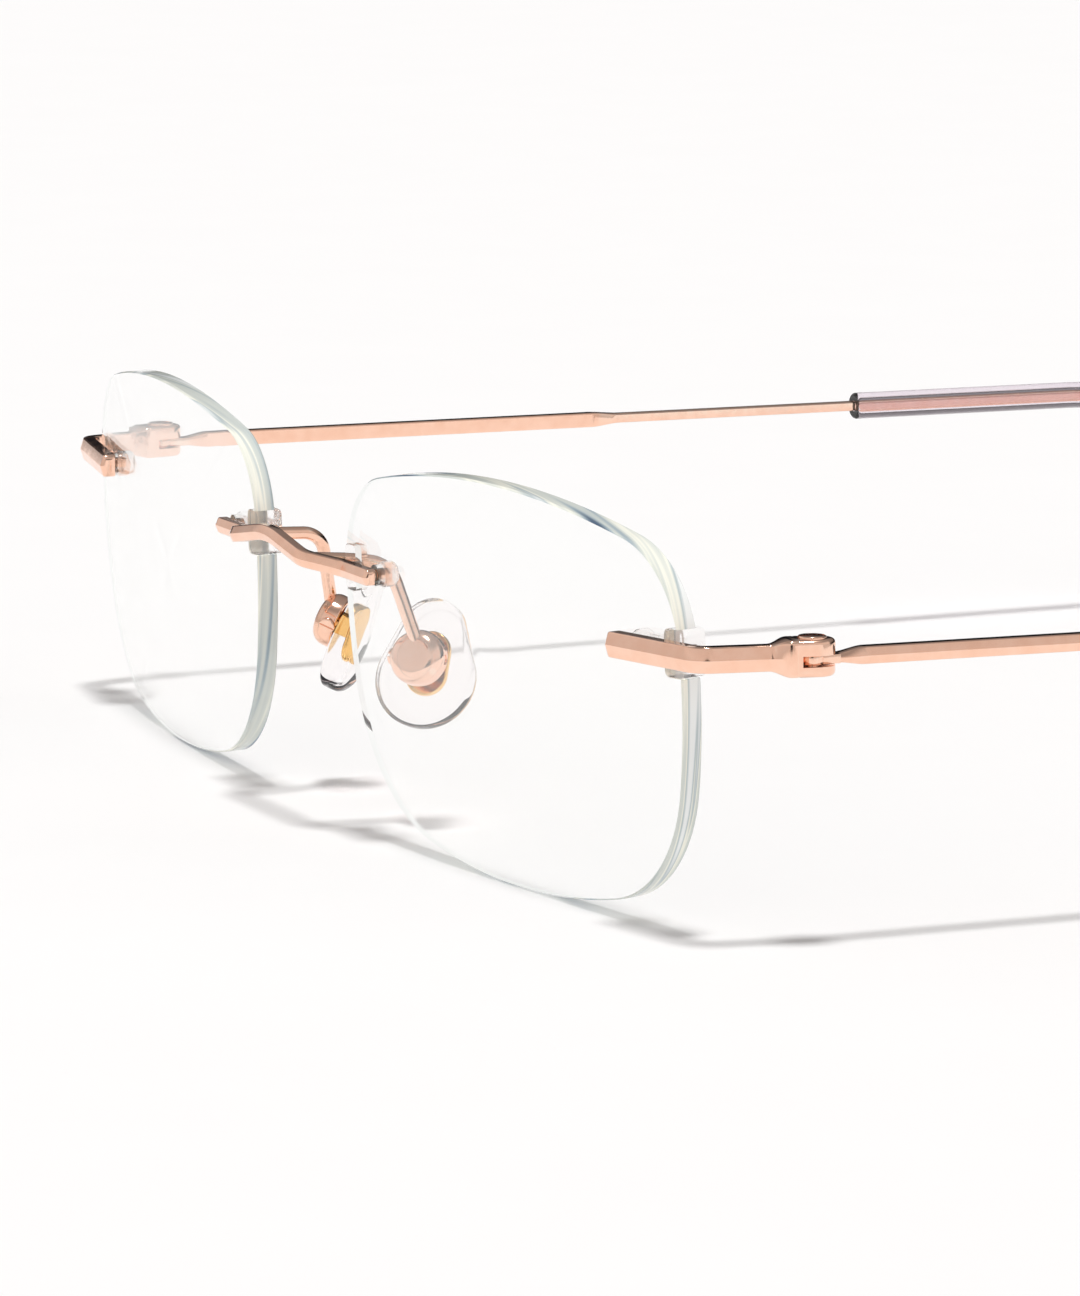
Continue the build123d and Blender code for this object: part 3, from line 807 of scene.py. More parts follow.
def edge_group():
    """Mask of the outer edges, where handling wears a finish."""
    if "edge_wear" in bpy.data.node_groups:
        return bpy.data.node_groups["edge_wear"]
    group, given, result = new_group(
        "edge_wear",
        [
            ("Start", "NodeSocketFloat", 0.53),
            ("End", "NodeSocketFloat", 0.62),
            ("Break", "NodeSocketFloat", 2200.0),
        ],
        [("Mask", "NodeSocketFloat")],
    )
    shape = node(group, "ShaderNodeNewGeometry")
    where = node(group, "ShaderNodeTexCoord").outputs["Object"]
    breaks = node(group, "ShaderNodeTexNoise", inputs={
        "Vector": where, "Scale": given.outputs["Break"], "Detail": 3.0,
    })
    edges = node(group, "ShaderNodeMapRange", inputs={
        "Value": shape.outputs["Pointiness"],
        "From Min": given.outputs["Start"],
        "From Max": given.outputs["End"],
    })
    mask = node(group, "ShaderNodeMath", {"operation": "MULTIPLY", "use_clamp": True}, {
        0: edges.outputs["Result"], 1: breaks.outputs["Fac"],
    })
    group.links.new(mask.outputs["Value"], result.inputs["Mask"])
    return group


def blank_material(name):
    """New material with an empty node tree."""
    material = bpy.data.materials.new(name)
    material.use_nodes = True
    material.node_tree.nodes.clear()
    return material, material.node_tree


def mixed_colour(tree, share, first, second):
    """Colour between two colours or colour sockets."""
    mix = tree.nodes.new("ShaderNodeMix")
    mix.data_type = "RGBA"
    tree.links.new(share, mix.inputs["Factor"])
    for socket, value in ((mix.inputs[6], first), (mix.inputs[7], second)):
        if isinstance(value, bpy.types.NodeSocket):
            tree.links.new(value, socket)
        else:
            socket.default_value = value
    return mix.outputs[2]


def mixed_shader(tree, share, first, second):
    """Shader between two shaders."""
    mix = tree.nodes.new("ShaderNodeMixShader")
    for socket, value in zip(mix.inputs, (share, first, second)):
        tree.links.new(value, socket)
    return mix.outputs["Shader"]


def polished_metal(name, base, shade, worn, roughness):
    """Plated metal: slightly uneven plating, bright handled edges and fine polishing marks."""
    material, tree = blank_material(name)
    polish = node(tree, "ShaderNodeGroup", {"node_tree": polish_group()}, {
        "Roughness": roughness, "Spread": 0.09, "Mark size": 700.0, "Fine size": 14000.0,
    })
    edges = node(tree, "ShaderNodeGroup", {"node_tree": edge_group()})
    plated = mixed_colour(tree, polish.outputs["Mask"], tuple(base), tuple(shade))
    shown = mixed_colour(tree, edges.outputs["Mask"], plated, tuple(worn))
    bump = node(tree, "ShaderNodeBump", inputs={
        "Strength": 0.06, "Distance": 0.01 * MM, "Height": polish.outputs["Height"],
    })
    metal = node(tree, "ShaderNodeBsdfPrincipled", inputs={
        "Base Color": shown, "Metallic": 1.0,
        "Roughness": polish.outputs["Roughness"], "Normal": bump.outputs["Normal"],
    })
    node(tree, "ShaderNodeOutputMaterial", inputs={"Surface": metal.outputs["BSDF"]})
    return material


def clear_material(name, tint, index, clear, roughness, spread, bump_depth, shade):
    """Clear glass or plastic that lets lamp light through with a little shade."""
    material, tree = blank_material(name)
    polish = node(tree, "ShaderNodeGroup", {"node_tree": polish_group()}, {
        "Roughness": roughness, "Spread": spread, "Mark size": 220.0, "Fine size": 3500.0,
    })
    bump = node(tree, "ShaderNodeBump", inputs={
        "Strength": 0.15, "Distance": bump_depth, "Height": polish.outputs["Height"],
    })
    glass = node(tree, "ShaderNodeBsdfPrincipled", inputs={
        "Base Color": tuple(tint), "Metallic": 0.0, "Roughness": polish.outputs["Roughness"], "IOR": index,
        "Transmission Weight": clear, "Normal": bump.outputs["Normal"],
    })
    through = node(tree, "ShaderNodeBsdfTransparent", inputs={"Color": shade})
    lamp_ray = node(tree, "ShaderNodeLightPath").outputs["Is Shadow Ray"]
    shown = mixed_shader(tree, lamp_ray, glass.outputs["BSDF"], through.outputs["BSDF"])
    node(tree, "ShaderNodeOutputMaterial", inputs={"Surface": shown})
    return material


def wall_tones(tree, height, tones):
    """Colour of a studio wall from its tones at several heights."""
    ramp_node = node(tree, "ShaderNodeValToRGB", inputs={"Fac": height})
    ramp = ramp_node.color_ramp
    for element, (position, tone) in zip(ramp.elements, (tones[0], tones[-1])):
        element.position, element.color = position, (*tone, 1)
    for position, tone in tones[1:-1]:
        ramp.elements.new(position).color = (*tone, 1)
    return ramp_node.outputs["Color"]


def edge_painted_reflection_material(name, tones):
    """Polished lens edge with painted reflections: a pale grey-green with slanting bright, yellow and
    blue-grey streaks painted in for what the edge reflects, under a real gloss.
    """
    material, tree = blank_material(name)
    where = node(tree, "ShaderNodeTexCoord").outputs["Object"]
    slanted = node(tree, "ShaderNodeMapping", inputs={
        "Vector": where, "Scale": (26.0, 900.0, 20.0), "Rotation": (0.02, 0.0, 0.01),
    })
    streaks = node(tree, "ShaderNodeTexNoise", inputs={
        "Vector": slanted.outputs["Vector"], "Scale": 1.0, "Detail": 2.0, "Roughness": 0.45,
    })
    # painted reflections: the colours the polished edge reflects from the studio, set into its base colour
    painted_reflections = wall_tones(tree, streaks.outputs["Fac"], tones)
    polish = node(tree, "ShaderNodeGroup", {"node_tree": polish_group()}, {
        "Roughness": 0.08, "Spread": 0.1, "Mark size": 900.0, "Fine size": 6000.0,
    })
    glossy = node(tree, "ShaderNodeBsdfPrincipled", inputs={
        "Base Color": painted_reflections, "Roughness": polish.outputs["Roughness"], "IOR": 1.5, "Metallic": 0.0,
    })
    inside = node(tree, "ShaderNodeBsdfTransparent", inputs={"Color": RIM_INSIDE})
    through = node(tree, "ShaderNodeBsdfTransparent", inputs={"Color": RIM_SHADE})
    behind = node(tree, "ShaderNodeNewGeometry").outputs["Backfacing"]
    lamp_ray = node(tree, "ShaderNodeLightPath").outputs["Is Shadow Ray"]
    seen = mixed_shader(tree, behind, glossy.outputs["BSDF"], inside.outputs["BSDF"])
    shown = mixed_shader(tree, lamp_ray, seen, through.outputs["BSDF"])
    node(tree, "ShaderNodeOutputMaterial", inputs={"Surface": shown})
    return material


def finish(slot):
    """The material of one of the record's slots, made when it is first asked for."""
    name = "finish_" + slot
    if name in bpy.data.materials:
        return bpy.data.materials[name]
    tones = bpy.context.scene.eyeglasses_finishes
    if slot == "rose_gold":
        return polished_metal(name, tones.rose_gold, tones.rose_shade, tones.rose_worn, tones.metal_roughness)
    if slot == "gold_insert":
        return polished_metal(name, tones.gold, tones.gold, tones.gold_worn, tones.metal_roughness)
    part = slot.removeprefix("clear_")
    if part in CLEAR:
        tint, index = getattr(tones, part), getattr(tones, part + "_ior")
        clear = tones.sleeve_clear if part == "sleeve" else 1.0
        return clear_material(name, tint, index, clear, **CLEAR[part])
    raise RuntimeError("no finish is written for the slot " + slot)


# ---------------------------------------------------------------- lenses, posts and bridge


def lens_blank(lens, place):
    """Left lens without holes: two domed faces, the edge and its bevels, as rings of one outline."""
    outline = lens_outline(lens)
    back_radius = lens.radius - lens.thickness
    shape = bmesh.new()

    def ring(share, radius, inset=0.0, depth=0.0):
        """Corners on one surface, at a share of the outline and an inset from it."""
        points = []
        for point in outline:
            at = point * share - point.normalized() * inset
            level = dome(lens, at.x, at.y, radius) + depth
            points.append(shape.verts.new(place @ Vector((at.x, at.y, level))))
        return points

    loops = [ring(share, lens.radius) for share in LENS_RINGS]
    loops.append(ring(1, lens.radius, lens.bevel))
    loops.append(ring(1, lens.radius, 0, -lens.bevel))
    loops.append(ring(1, back_radius, 0, lens.bevel))
    loops.append(ring(1, back_radius, lens.bevel))
    loops += [ring(share, back_radius) for share in reversed(LENS_RINGS)]
    wall(shape, loops)
    for loop, radius in ((loops[0], lens.radius), (loops[-1], back_radius)):
        middle = shape.verts.new(place @ Vector((0, 0, dome(lens, 0, 0, radius))))
        for i in range(len(loop)):
            shape.faces.new((loop[i], loop[(i + 1) % len(loop)], middle))
    return shape


def lens_cuts(lens):
    """Cutters for the drilled hole and the edge notch at each end of the left lens."""
    cuts = []
    deep = 3 * lens.thickness
    for side, spacing in ((1, lens.end_spacing), (-1, lens.bridge_spacing)):
        at = seat(lens, side)
        cuts.append(bore(lens.hole_radius, at, deep, count=48))
        near = lens.post_edge + spacing - lens.notch_depth
        corners = rectangle(near, near + lens.notch_depth + lens.thickness, lens.notch_height / 2)
        notch = rounded(corners, [lens.notch_corner] * 4, closed=True)
        cuts.append(prism(notch, at, -deep, deep))
    return cuts


class MakeLenses(Operator):
    """Clear lenses with polished bevelled edges, one drilled hole and one notch at each end"""

    bl_idname = "eyeglasses.lenses"
    bl_label = "Lenses"

    def execute(self, context):
        lens = context.scene.eyeglasses_lens
        place = lens_place(lens)
        whole = combined(lens_blank(lens, place), lens_cuts(lens), "DIFFERENCE")
        whole.normal_update()
        front_way = place.to_3x3() @ Vector((0, 0, 1))
        for face in whole.faces:
            face.material_index = 1 if abs(face.normal.dot(front_way)) < RIM_FACING else 0
        # the lens rim takes painted reflections as its colour
        edge = edge_painted_reflection_material("finish_lens_edge", EDGE_PAINTED_REFLECTIONS)
        add_pair("lens", whole, "front", "lens", sharp=25.0, extra=[edge])
        return {"FINISHED"}


def lens_post(lens, place):
    """Post through the lens, with a domed rear end."""
    low, high = -lens.thickness - lens.post_proud, lens.post_proud
    corners = [(0, low), (lens.post_radius, low), (lens.post_radius, high), (0, high)]
    return lathed(turned(corners, [0, lens.post_dome, lens.post_round, 0]), place, count=32)


class MakePosts(Operator):
    """Round posts through the lenses, with domed ends, and their clear sleeves"""

    bl_idname = "eyeglasses.posts"
    bl_label = "Posts and sleeves"

    def execute(self, context):
        lens = context.scene.eyeglasses_lens
        for name, side, spacing in (("end", 1, lens.end_spacing), ("bridge", -1, lens.bridge_spacing)):
            places = [seat(lens, side) @ Matrix.Translation((x, 0, 0)) for x in (0.0, spacing)]
            posts = [lens_post(lens, place) for place in places]
            add_pair(name + "_posts", joined(*posts), "front", "rose_gold")
            sleeve = refined(name + "_sleeve_left", lens.sleeve_edge)
            add_pair(name + "_sleeve", sleeve, "front", "clear_sleeve")
        return {"FINISHED"}


class MakeBridge(Operator):
    """Bridge bar, bowed forward and up, with two facets on its front"""

    bl_idname = "eyeglasses.bridge"
    bl_label = "Bridge"

    def execute(self, context):
        bars = context.scene.eyeglasses_bars
        left = bow_points(context.scene.eyeglasses_lens, bars)
        crown = Vector((0, left[-1].y, left[-1].z + bars.bridge_crown))
        right = [Vector((-place.x, place.y, place.z)) for place in left]
        bends = [0, bars.foot_bend, bars.step_bend, bars.crown_bend, bars.step_bend, bars.foot_bend, 0]
        path = rounded([*right, crown, *reversed(left)], bends, steps=10)
        outline = bar_outline(bars.bridge_height, bars.bridge_depth, bars.ridge, bars.edge)
        bar = swept(path, [outline] * len(path), bars.tip, bars.tip)
        add_piece("bridge", bar, "front", "rose_gold")
        bar.free()
        return {"FINISHED"}


# ---------------------------------------------------------------- end pieces and temples


def end_bar(lens, bars, hinge):
    """Bar of the left end piece: from its tip on the lens round the corner into the hinge block."""
    at = seat(lens, 1)
    along = at.to_3x3() @ Vector((1, 0, 0))
    outward = along.cross(UP)
    hole = Vector((at.translation.x, at.translation.y, metal_line(lens)))
    line = hole + outward * (bars.seat_gap + bars.end_depth / 2)
    to_edge = lens.post_edge + lens.end_spacing
    bar_way = along * cos(bars.end_slope) + UP * sin(bars.end_slope)
    tip = line + bar_way * (to_edge - bars.end_overlap)
    corner = line + bar_way * (to_edge + bars.corner_reach)
    way = side_way(bars)
    swell_start = HINGE - way * (hinge.slot_depth + hinge.shoulder + hinge.swell)
    path = rounded([tip, corner, swell_start], [0, bars.corner_radius, 0], steps=14)
    slim = bar_outline(bars.end_height, bars.end_depth, bars.ridge, bars.edge)
    outlines = [slim] * len(path)
    last_ridge = 0.01 * MM  # a trace of the ridge is left where the bar enters the block
    in_block = 0.6 * hinge.shoulder  # the bar ends inside the block
    for k in range(1, SWELL_STEPS + 1):
        share = k / SWELL_STEPS
        ease = eased(share)
        path.append(swell_start + way * hinge.swell * share)
        outlines.append(bar_outline(
            blend(bars.end_height, hinge.height, ease),
            blend(bars.end_depth, 2 * hinge.radius, ease),
            bars.ridge * (1 - ease) + last_ridge,
            blend(bars.edge, hinge.edge, ease),
        ))
    path.append(path[-1] + way * in_block)
    outlines.append(outlines[-1])
    return swept(path, outlines, start_round=bars.tip)


def hinge_block(hinge, pin):
    """Block of the left end piece, round behind the screw."""
    ear = Vector((hinge.ear_reach - hinge.radius, 0))
    front = hinge.edge - hinge.slot_depth - hinge.shoulder
    plan = [ear + point for point in arc_points(hinge.radius, -pi / 2, pi / 2, 24)]
    plan = [Vector((front, -hinge.radius)), *plan, Vector((front, hinge.radius))]
    return prism(plan, pin, -hinge.height / 2, hinge.height / 2, hinge.edge)


def hinge_cuts(hinge, pin):
    """Cutters for the slot of the tongue, the bore of the screw and the recess of its head."""
    wide = 2 * hinge.radius
    half = hinge.tongue / 2 + hinge.clearance
    slot = rectangle(-hinge.slot_depth, 2 * wide, wide)
    slot = prism(slot, pin, -hinge.tongue_drop - half, half - hinge.tongue_drop)
    recess = circle_outline(hinge.head_radius + hinge.head_gap, 56)
    recess = prism(recess, pin, (hinge.height - hinge.head_height) / 2, hinge.height)
    return [slot, bore(hinge.screw_radius, pin, hinge.height, count=40), recess]


def slotted(screw, place, reach, half, low, high):
    """Screw with a driver slot across its head."""
    return combined(screw, [prism(rectangle(-reach, reach, half), place, low, high)], "DIFFERENCE")


def hinge_screw(hinge, pin):
    """Left hinge screw: shaft through the block and a sunk head that stands a little proud."""
    foot = -hinge.height / 2
    head_low = (hinge.height - hinge.head_height) / 2
    head_high = (hinge.height + hinge.head_height) / 2
    corners = [
        (0, foot),
        (hinge.screw_radius, foot),
        (hinge.screw_radius, head_low),
        (hinge.head_radius, head_low),
        (hinge.head_radius, head_high),
        (0, head_high + hinge.head_crown),
    ]
    radii = [0, hinge.shaft_round, hinge.shaft_neck, hinge.head_under, hinge.head_round, 0]
    screw = lathed(turned(corners, radii), pin, count=56)
    reach = 2 * hinge.head_radius
    return slotted(screw, pin, reach, hinge.head_slot / 2, hinge.height / 2, hinge.height)


class MakeEndPieces(Operator):
    """End pieces: bar in front of the lens, rounded corner, swelling side bar and slotted hinge block"""

    bl_idname = "eyeglasses.end_pieces"
    bl_label = "End pieces"

    def execute(self, context):
        lens = context.scene.eyeglasses_lens
        bars = context.scene.eyeglasses_bars
        hinge = context.scene.eyeglasses_hinge
        pin = plane(HINGE, side_way(bars), UP)
        whole = combined(hinge_block(hinge, pin), [end_bar(lens, bars, hinge)], "UNION")
        whole = combined(whole, hinge_cuts(hinge, pin), "DIFFERENCE")
        add_pair("end_piece", whole, "front", "rose_gold")
        add_pair("hinge_screw", hinge_screw(hinge, pin), "front", "rose_gold")
        return {"FINISHED"}


def level_way(temple):
    """Direction back along the left temple, without its fall."""
    return Vector((sin(temple.splay), cos(temple.splay), 0))


def cover_end(temple):
    """Middle of the round tip of the cover, as a distance behind the hinge screw."""
    return temple.length - temple.cover_radius


def temple_line(temple):
    """Function that gives the centre line of the left temple by the distance behind the hinge screw.

    The bend starts where the tip of the cover then comes to lie on the floor.
    """
    slope, splay, lean, bend = temple.slope, temple.splay, temple.lean, temple.bend
    back = Vector((sin(splay) * cos(slope), cos(splay) * cos(slope), -sin(slope)))
    inward = UP.cross(level_way(temple))
    drop_way = inward.cross(back) * cos(lean) + inward * sin(lean)
    start = HINGE - UP * temple.drop
    arc_length = temple.bend_radius * bend
    straight = cover_end(temple) - arc_length
    fall = start.z - temple.cover_radius
    fall -= sin(slope) * (straight + temple.bend_radius * sin(bend))
    fall -= cos(lean) * cos(slope) * temple.bend_radius * (1 - cos(bend))
    steep = cos(lean) * cos(slope) * sin(bend) - sin(slope) * (1 - cos(bend))
    bend_start = straight - fall / steep

    def centre(place):
        """Point of the centre line at one distance behind the hinge screw."""
        if place <= bend_start:
            return start + back * place
        angle = min((place - bend_start) / temple.bend_radius, bend)
        past = max(0.0, place - bend_start - arc_length)
        ahead = temple.bend_radius * sin(angle) + past * cos(angle)
        low = temple.bend_radius * (1 - cos(angle)) + past * sin(angle)
        return start + back * (bend_start + ahead) + drop_way * low

    return centre


def stations(first, last, step):
    """Evenly spaced distances from first to last, about one step apart."""
    count = max(2, round((last - first) / step))
    return [blend(first, last, k / count) for k in range(count + 1)]


def temple_bar(bars, hinge, temple, centre):
    """Neck, faceted bar, taper and wire core of the left temple."""
    full = bar_outline(temple.height, temple.depth, bars.ridge, bars.edge)
    wire = round_outline(full, temple.core_radius)
    neck = HINGE + level_way(temple) * temple.neck_start - UP * hinge.tongue_drop
    path, outlines = [], []
    for k in range(SWELL_STEPS + 1):
        share = k / SWELL_STEPS
        path.append(neck.lerp(centre(temple.neck_end), share))
        tall = blend(hinge.tongue, temple.height, eased(share))
        outlines.append(bar_outline(tall, temple.depth, bars.ridge, bars.edge))
    for place in stations(temple.neck_end, temple.bar_end, temple.bar_step)[1:]:
        path.append(centre(place))
        outlines.append(full)
    for k in range(1, SWELL_STEPS + 1):
        share = k / SWELL_STEPS
        path.append(centre(temple.bar_end + temple.taper * share))
        outlines.append([a.lerp(b, eased(share)) for a, b in zip(full, wire)])
    core_end = cover_end(temple) - temple.core_gap
    for place in stations(temple.bar_end + temple.taper, core_end, temple.bend_step)[1:]:
        path.append(centre(place))
        outlines.append(wire)
    return swept(path, outlines, end_round=temple.core_round)


def temple_tongue(hinge, temple):
    """Flat tongue of the left temple, round about the hinge screw and bored for it."""
    place = plane(HINGE, level_way(temple), UP)
    half = temple.depth / 2
    widest = asin(half / hinge.tongue_reach)
    rear = temple.neck_start + hinge.tongue_lap
    plan = arc_points(hinge.tongue_reach, widest, 2 * pi - widest, 32)
    plan += [Vector((rear, -half)), Vector((rear, half))]
    low = -hinge.tongue_drop - hinge.tongue / 2
    tongue = prism(plan, place, low, low + hinge.tongue, hinge.tongue_edge)
    hole = bore(hinge.screw_radius + hinge.bore_gap, place, hinge.height, count=40)
    return combined(tongue, [hole], "DIFFERENCE")


def temple_cover(temple, centre):
    """Clear cover of the left temple, bored for the wire."""
    tube = circle_outline(temple.cover_radius, 40)
    places = stations(temple.cover_start, temple.length, temple.bend_step)
    path = [centre(place) for place in places]
    cover = swept(path, [tube] * len(path), temple.cover_round, temple.cover_radius, steps=8)
    thin = circle_outline(temple.core_radius - temple.core_grip, 24)
    bore_end = cover_end(temple) - temple.core_gap - temple.bore_short
    places = stations(temple.cover_start - temple.bore_start, bore_end, temple.bend_step)
    path = [centre(place) for place in places]
    return combined(cover, [swept(path, [thin] * len(path))], "DIFFERENCE")


class MakeTemples(Operator):
    """Temples: hinge tongue, faceted bar, thin wire core and clear cover bent down behind the ear"""

    bl_idname = "eyeglasses.temples"
    bl_label = "Temples"

    def execute(self, context):
        bars = context.scene.eyeglasses_bars
        hinge = context.scene.eyeglasses_hinge
        temple = context.scene.eyeglasses_temple
        centre = temple_line(temple)
        bar = temple_bar(bars, hinge, temple, centre)
        whole = combined(bar, [temple_tongue(hinge, temple)], "UNION")
        add_pair("temple", whole, "temple_{side}", "rose_gold")
        add_pair("temple_tip", temple_cover(temple, centre), "temple_{side}", "clear_tip")
        return {"FINISHED"}


# ---------------------------------------------------------------- nose pads


def pad_shape(pads, at):
    """Left nose pad: a teardrop with a flat back, a round front edge and a bulging face."""
    low_middle = pads.length / 2 - pads.width / 2
    high_middle = pads.top_radius - pads.length / 2
    tangent = asin((pads.top_radius - pads.width / 2) / (low_middle - high_middle))
    arcs = (
        (low_middle, pads.width / 2, tangent, pi - tangent, 40),
        (high_middle, pads.top_radius, pi - tangent, 2 * pi + tangent, 28),
    )

    def ring(inset, level, share=1.0):
        """Teardrop outline, drawn in by an inset and a share, at one level."""
        points = []
        for middle, radius, first, last, count in arcs:
            for k in range(count):
                angle = blend(first, last, (k + 0.5) / count)
                x = (radius - inset) * cos(angle)
                y = middle + (radius - inset) * sin(angle)
                points.append(at @ Vector((x * share, y * share, level)))
        return points

    back_round, front_round = pads.back_round, pads.front_round
    rings = [ring(back_round, pads.rest, share) for share in PAD_BACK_RINGS]
    back_steps, front_steps = PAD_ROUND_STEPS
    for k in range(back_steps + 1):
        angle = pi / 2 * k / back_steps
        rings.append(ring(back_round * (1 - sin(angle)), pads.rest + back_round * (1 - cos(angle))))
    top = pads.rest + pads.thickness - pads.crown
    for k in range(front_steps + 1):
        angle = pi / 2 * k / front_steps
        rings.append(ring(front_round * (1 - cos(angle)), top - front_round * (1 - sin(angle))))
    for share in PAD_FACE_RINGS:
        rings.append(ring(front_round, top + pads.crown * (1 - share * share), share))
    return skin(rings)


def pad_insert(pads, at, pivot):
    """Metal insert of the left pad: an oval plate with a bored lug."""
    half = pads.insert_width / 2
    end = Vector((0, pads.insert_length / 2 - half))
    plan = [end + point for point in arc_points(half, 0, pi, 20)]
    plan += [-point for point in plan]
    bed = pads.rest + pads.insert_bed
    plate = prism(plan, at, bed, bed + pads.insert_thickness, pads.insert_edge)
    root = bed + pads.lug_lap
    lug = arc_points(pads.lug_radius, pi / 2, 3 * pi / 2, 20)
    lug += [Vector((root, -pads.lug_radius)), Vector((root, pads.lug_radius))]
    lug = prism(lug, pivot, -pads.lug_width / 2, pads.lug_width / 2, pads.lug_edge)
    insert = combined(plate, [lug], "UNION")
    hole = bore(pads.screw_radius + pads.bore_gap, pivot, pads.box_radius, count=32)
    return combined(insert, [hole], "DIFFERENCE")


def pad_box(pads, at, pivot):
    """Left pad box: a small turned cup with the holes of the pad screw."""
    outer, inner = pads.box_radius, pads.box_radius - pads.box_wall
    floor = pads.box_wall - pads.box_back
    corners = [
        (0, -pads.box_back),
        (outer, -pads.box_back),
        (outer, pads.box_front),
        (inner, pads.box_front),
        (inner, floor),
        (0, floor),
    ]
    radii = [0, pads.box_round, pads.rim_round, pads.rim_round, pads.box_floor_round, 0]
    cup = lathed(turned(corners, radii, steps=8), at, count=72)
    return combined(cup, [bore(pads.screw_radius, pivot, 2 * outer, count=32)], "DIFFERENCE")


def pad_screw(pads, pivot):
    """Left pad screw, across the box, with a slotted head."""
    outer, wall_size = pads.box_radius, pads.box_wall
    head_low, head_high = -outer - wall_size / 2, -outer + wall_size / 2
    end = outer - wall_size / 4
    corners = [
        (0, head_low),
        (pads.screw_head, head_low),
        (pads.screw_head, head_high),
        (pads.screw_radius, head_high),
        (pads.screw_radius, end),
        (0, end),
    ]
    radii = [0, pads.screw_round, pads.screw_neck, pads.screw_neck, pads.screw_end, 0]
    screw = lathed(turned(corners, radii), pivot, count=40)
    reach = 2 * pads.screw_head
    return slotted(screw, pivot, reach, pads.screw_slot, head_low - wall_size, head_low + wall_size / 2)


def pad_arm(lens, bars, pads, at):
    """Left pad arm: round wire from the bridge back and down into the box."""
    root = bow_points(lens, bars)[-1]
    elbow = Vector((
        lens_front(lens, -1, 0).x - pads.arm_gap,
        lens_place(lens).translation.y + pads.arm_back,
        metal_line(lens),
    ))
    foot = at @ Vector((0, pads.arm_inset - pads.box_radius, -pads.arm_depth))
    path = rounded([root, elbow, foot], [0, pads.arm_bend, 0], steps=16)
    return swept(path, [circle_outline(pads.arm_radius, 28)] * len(path))


class MakePads(Operator):
    """Nose pads with their metal inserts, boxes, screws and arms"""

    bl_idname = "eyeglasses.pads"
    bl_label = "Nose pads"

    def execute(self, context):
        lens = context.scene.eyeglasses_lens
        bars = context.scene.eyeglasses_bars
        pads = context.scene.eyeglasses_pads
        at = pad_place(pads)
        turn_way, across = at.to_3x3() @ Vector((1, 0, 0)), at.to_3x3() @ Vector((0, 0, 1))
        pivot = plane(PAD_PIVOT, across, turn_way)
        add_pair("nose_pad", pad_shape(pads, at), "pad_{side}", "clear_pad", sharp=60.0)
        add_pair("pad_insert", pad_insert(pads, at, pivot), "pad_{side}", "gold_insert")
        add_pair("pad_box", pad_box(pads, at, pivot), "front", "rose_gold")
        add_pair("pad_screw", pad_screw(pads, pivot), "front", "rose_gold")
        add_pair("pad_arm", pad_arm(lens, bars, pads, at), "front", "rose_gold")
        return {"FINISHED"}


# ---------------------------------------------------------------- stage


def add_object(name, data):
    """Puts new data in the scene as an object."""
    made = bpy.data.objects.new(name, data)
    bpy.context.scene.collection.objects.link(made)
    return made


def aimed(made, way):
    """Turns a light or a camera so that it looks along a direction."""
    made.rotation_mode = "QUATERNION"
    made.rotation_quaternion = way.to_track_quat("-Z", "Y")


def add_floor(sizes):
    """Pale matt floor with a faint grain."""
    half = sizes.floor_half
    mesh = bpy.data.meshes.new("floor")
    corners = [(-half, -half, 0), (half, -half, 0), (half, half, 0), (-half, half, 0)]
    mesh.from_pydata(corners, [], [(0, 1, 2, 3)])
    floor = add_object("floor", mesh)
    floor.location.z = CAD_LOW.z - sizes.floor_drop
    material, tree = blank_material("floor")
    where = node(tree, "ShaderNodeTexCoord").outputs["Object"]
    grain = node(tree, "ShaderNodeTexNoise", inputs={"Vector": where, "Scale": 60.0, "Detail": 4.0})
    low = [part * 0.985 for part in sizes.floor[:3]] + [1]
    shown = mixed_colour(tree, grain.outputs["Fac"], tuple(low), tuple(sizes.floor))
    matt = node(tree, "ShaderNodeBsdfPrincipled", inputs={
        "Base Color": shown, "Roughness": 0.9, "Specular IOR Level": 0.1,
    })
    node(tree, "ShaderNodeOutputMaterial", inputs={"Surface": matt.outputs["BSDF"]})
    floor.data.materials.append(material)


def add_key(sizes):
    """Soft light from nearly overhead."""
    key = bpy.data.lights.new("key", "SUN")
    key.energy = sizes.key_strength
    key.angle = sizes.key_angle
    key.color = KEY_TONE
    aimed(add_object("key", key), KEY_WAY)


def towards(tree, where, way, limits):
    """Soft mask of the directions near one direction."""
    facing = node(tree, "ShaderNodeVectorMath", {"operation": "DOT_PRODUCT"}, {0: where, 1: way})
    share = node(tree, "ShaderNodeMapRange", {"interpolation_type": "SMOOTHSTEP"}, {
        "Value": facing.outputs["Value"], "From Min": limits[0], "From Max": limits[1],
    })
    return share.outputs["Result"]


def studio_world(sizes):
    """Studio: open walls, a dark wall, a dark doorway, and a pale backdrop for the camera."""
    world = bpy.data.worlds.new("studio")
    world.use_nodes = True
    tree = world.node_tree
    tree.nodes.clear()
    where = node(tree, "ShaderNodeTexCoord").outputs["Generated"]
    height = node(tree, "ShaderNodeSeparateXYZ", inputs={"Vector": where}).outputs["Z"]
    open_side = wall_tones(tree, height, OPEN_SIDE)
    dark_side = wall_tones(tree, height, DARK_SIDE)
    walls = mixed_colour(tree, towards(tree, where, DARK_WAY, DARK_RANGE), open_side, dark_side)
    walls = mixed_colour(tree, towards(tree, where, DOOR_WAY, DOOR_RANGE), walls, DOOR_TONE)
    studio = node(tree, "ShaderNodeBackground", inputs={"Color": walls, "Strength": sizes.sky_strength})
    seen = node(tree, "ShaderNodeBackground", inputs={"Color": BACKDROP, "Strength": 1.0})
    camera_ray = node(tree, "ShaderNodeLightPath").outputs["Is Camera Ray"]
    shown = mixed_shader(tree, camera_ray, studio.outputs["Background"], seen.outputs["Background"])
    node(tree, "ShaderNodeOutputWorld", inputs={"Surface": shown})
    return world


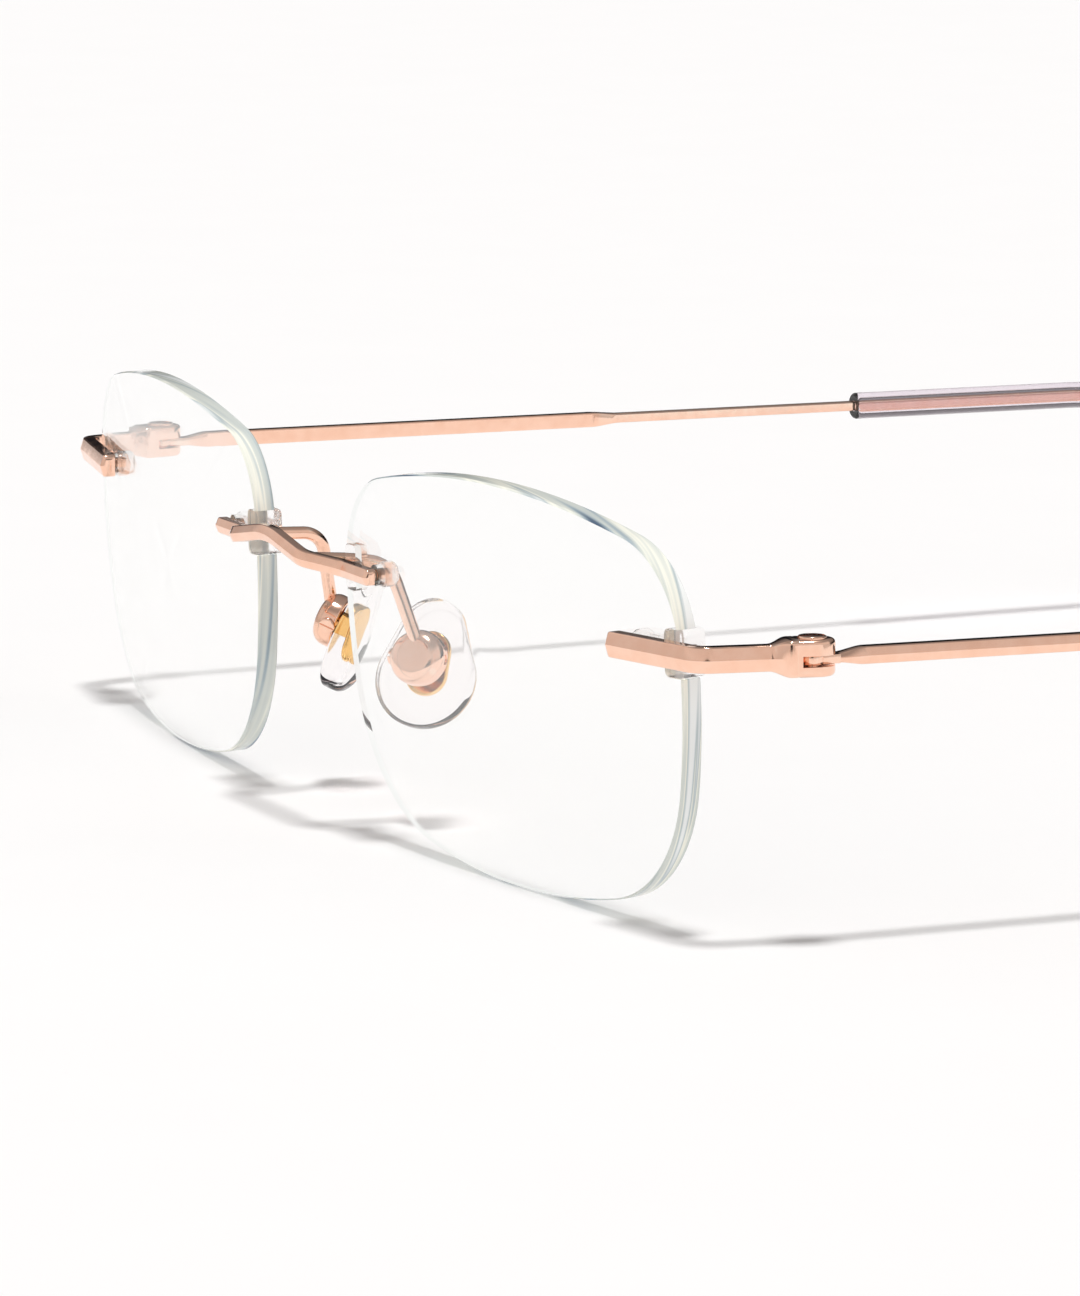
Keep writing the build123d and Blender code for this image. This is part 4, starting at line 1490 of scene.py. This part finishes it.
def add_camera(sizes, lens):
    """Long lens that looks down along the left temple."""
    aim = Vector((sizes.aim_across, sizes.aim_back, sizes.aim_up)) + lens_place(lens).translation
    back = Vector((
        sin(sizes.azimuth) * cos(sizes.elevation),
        -cos(sizes.azimuth) * cos(sizes.elevation),
        sin(sizes.elevation),
    ))
    data = bpy.data.cameras.new("camera")
    data.lens = sizes.focal
    data.sensor_width = 36.0
    data.clip_start = 0.01
    data.clip_end = 100.0
    camera = add_object("camera", data)
    camera.location = aim + back * sizes.distance
    aimed(camera, -back)
    return camera


class MakeStage(Operator):
    """Pale floor, soft overhead light, studio walls and the camera"""

    bl_idname = "eyeglasses.stage"
    bl_label = "Stage"

    def execute(self, context):
        scene = context.scene
        sizes = scene.eyeglasses_stage
        add_floor(sizes)
        add_key(sizes)
        scene.world = studio_world(sizes)
        scene.view_settings.view_transform = "Standard"
        scene.camera = add_camera(sizes, scene.eyeglasses_lens)
        return {"FINISHED"}


MAKERS = (MakeLenses, MakePosts, MakeBridge, MakeEndPieces, MakeTemples, MakePads, MakeStage)


class EyeglassesPanel(Panel):
    """Buttons that build the eyeglasses, piece by piece"""

    bl_idname = "VIEW3D_PT_eyeglasses"
    bl_label = "Eyeglasses"
    bl_space_type = "VIEW_3D"
    bl_region_type = "UI"
    bl_category = "Eyeglasses"

    def draw(self, context):
        for maker in MAKERS:
            self.layout.operator(maker.bl_idname)


GROUPS = {
    "eyeglasses_lens": LensSizes,
    "eyeglasses_bars": BarSizes,
    "eyeglasses_hinge": HingeSizes,
    "eyeglasses_temple": TempleSizes,
    "eyeglasses_pads": PadSizes,
    "eyeglasses_finishes": Finishes,
    "eyeglasses_stage": StageSizes,
}


def register():
    for item in (*GROUPS.values(), *MAKERS, EyeglassesPanel):
        bpy.utils.register_class(item)
    for name, group in GROUPS.items():
        setattr(bpy.types.Scene, name, PointerProperty(type=group))


def unregister():
    for name in GROUPS:
        delattr(bpy.types.Scene, name)
    for item in reversed((*GROUPS.values(), *MAKERS, EyeglassesPanel)):
        bpy.utils.unregister_class(item)


def main():
    register()
    for maker in MAKERS:
        area, name = maker.bl_idname.split(".")
        getattr(getattr(bpy.ops, area), name)()


if __name__ == "__main__":
    main()
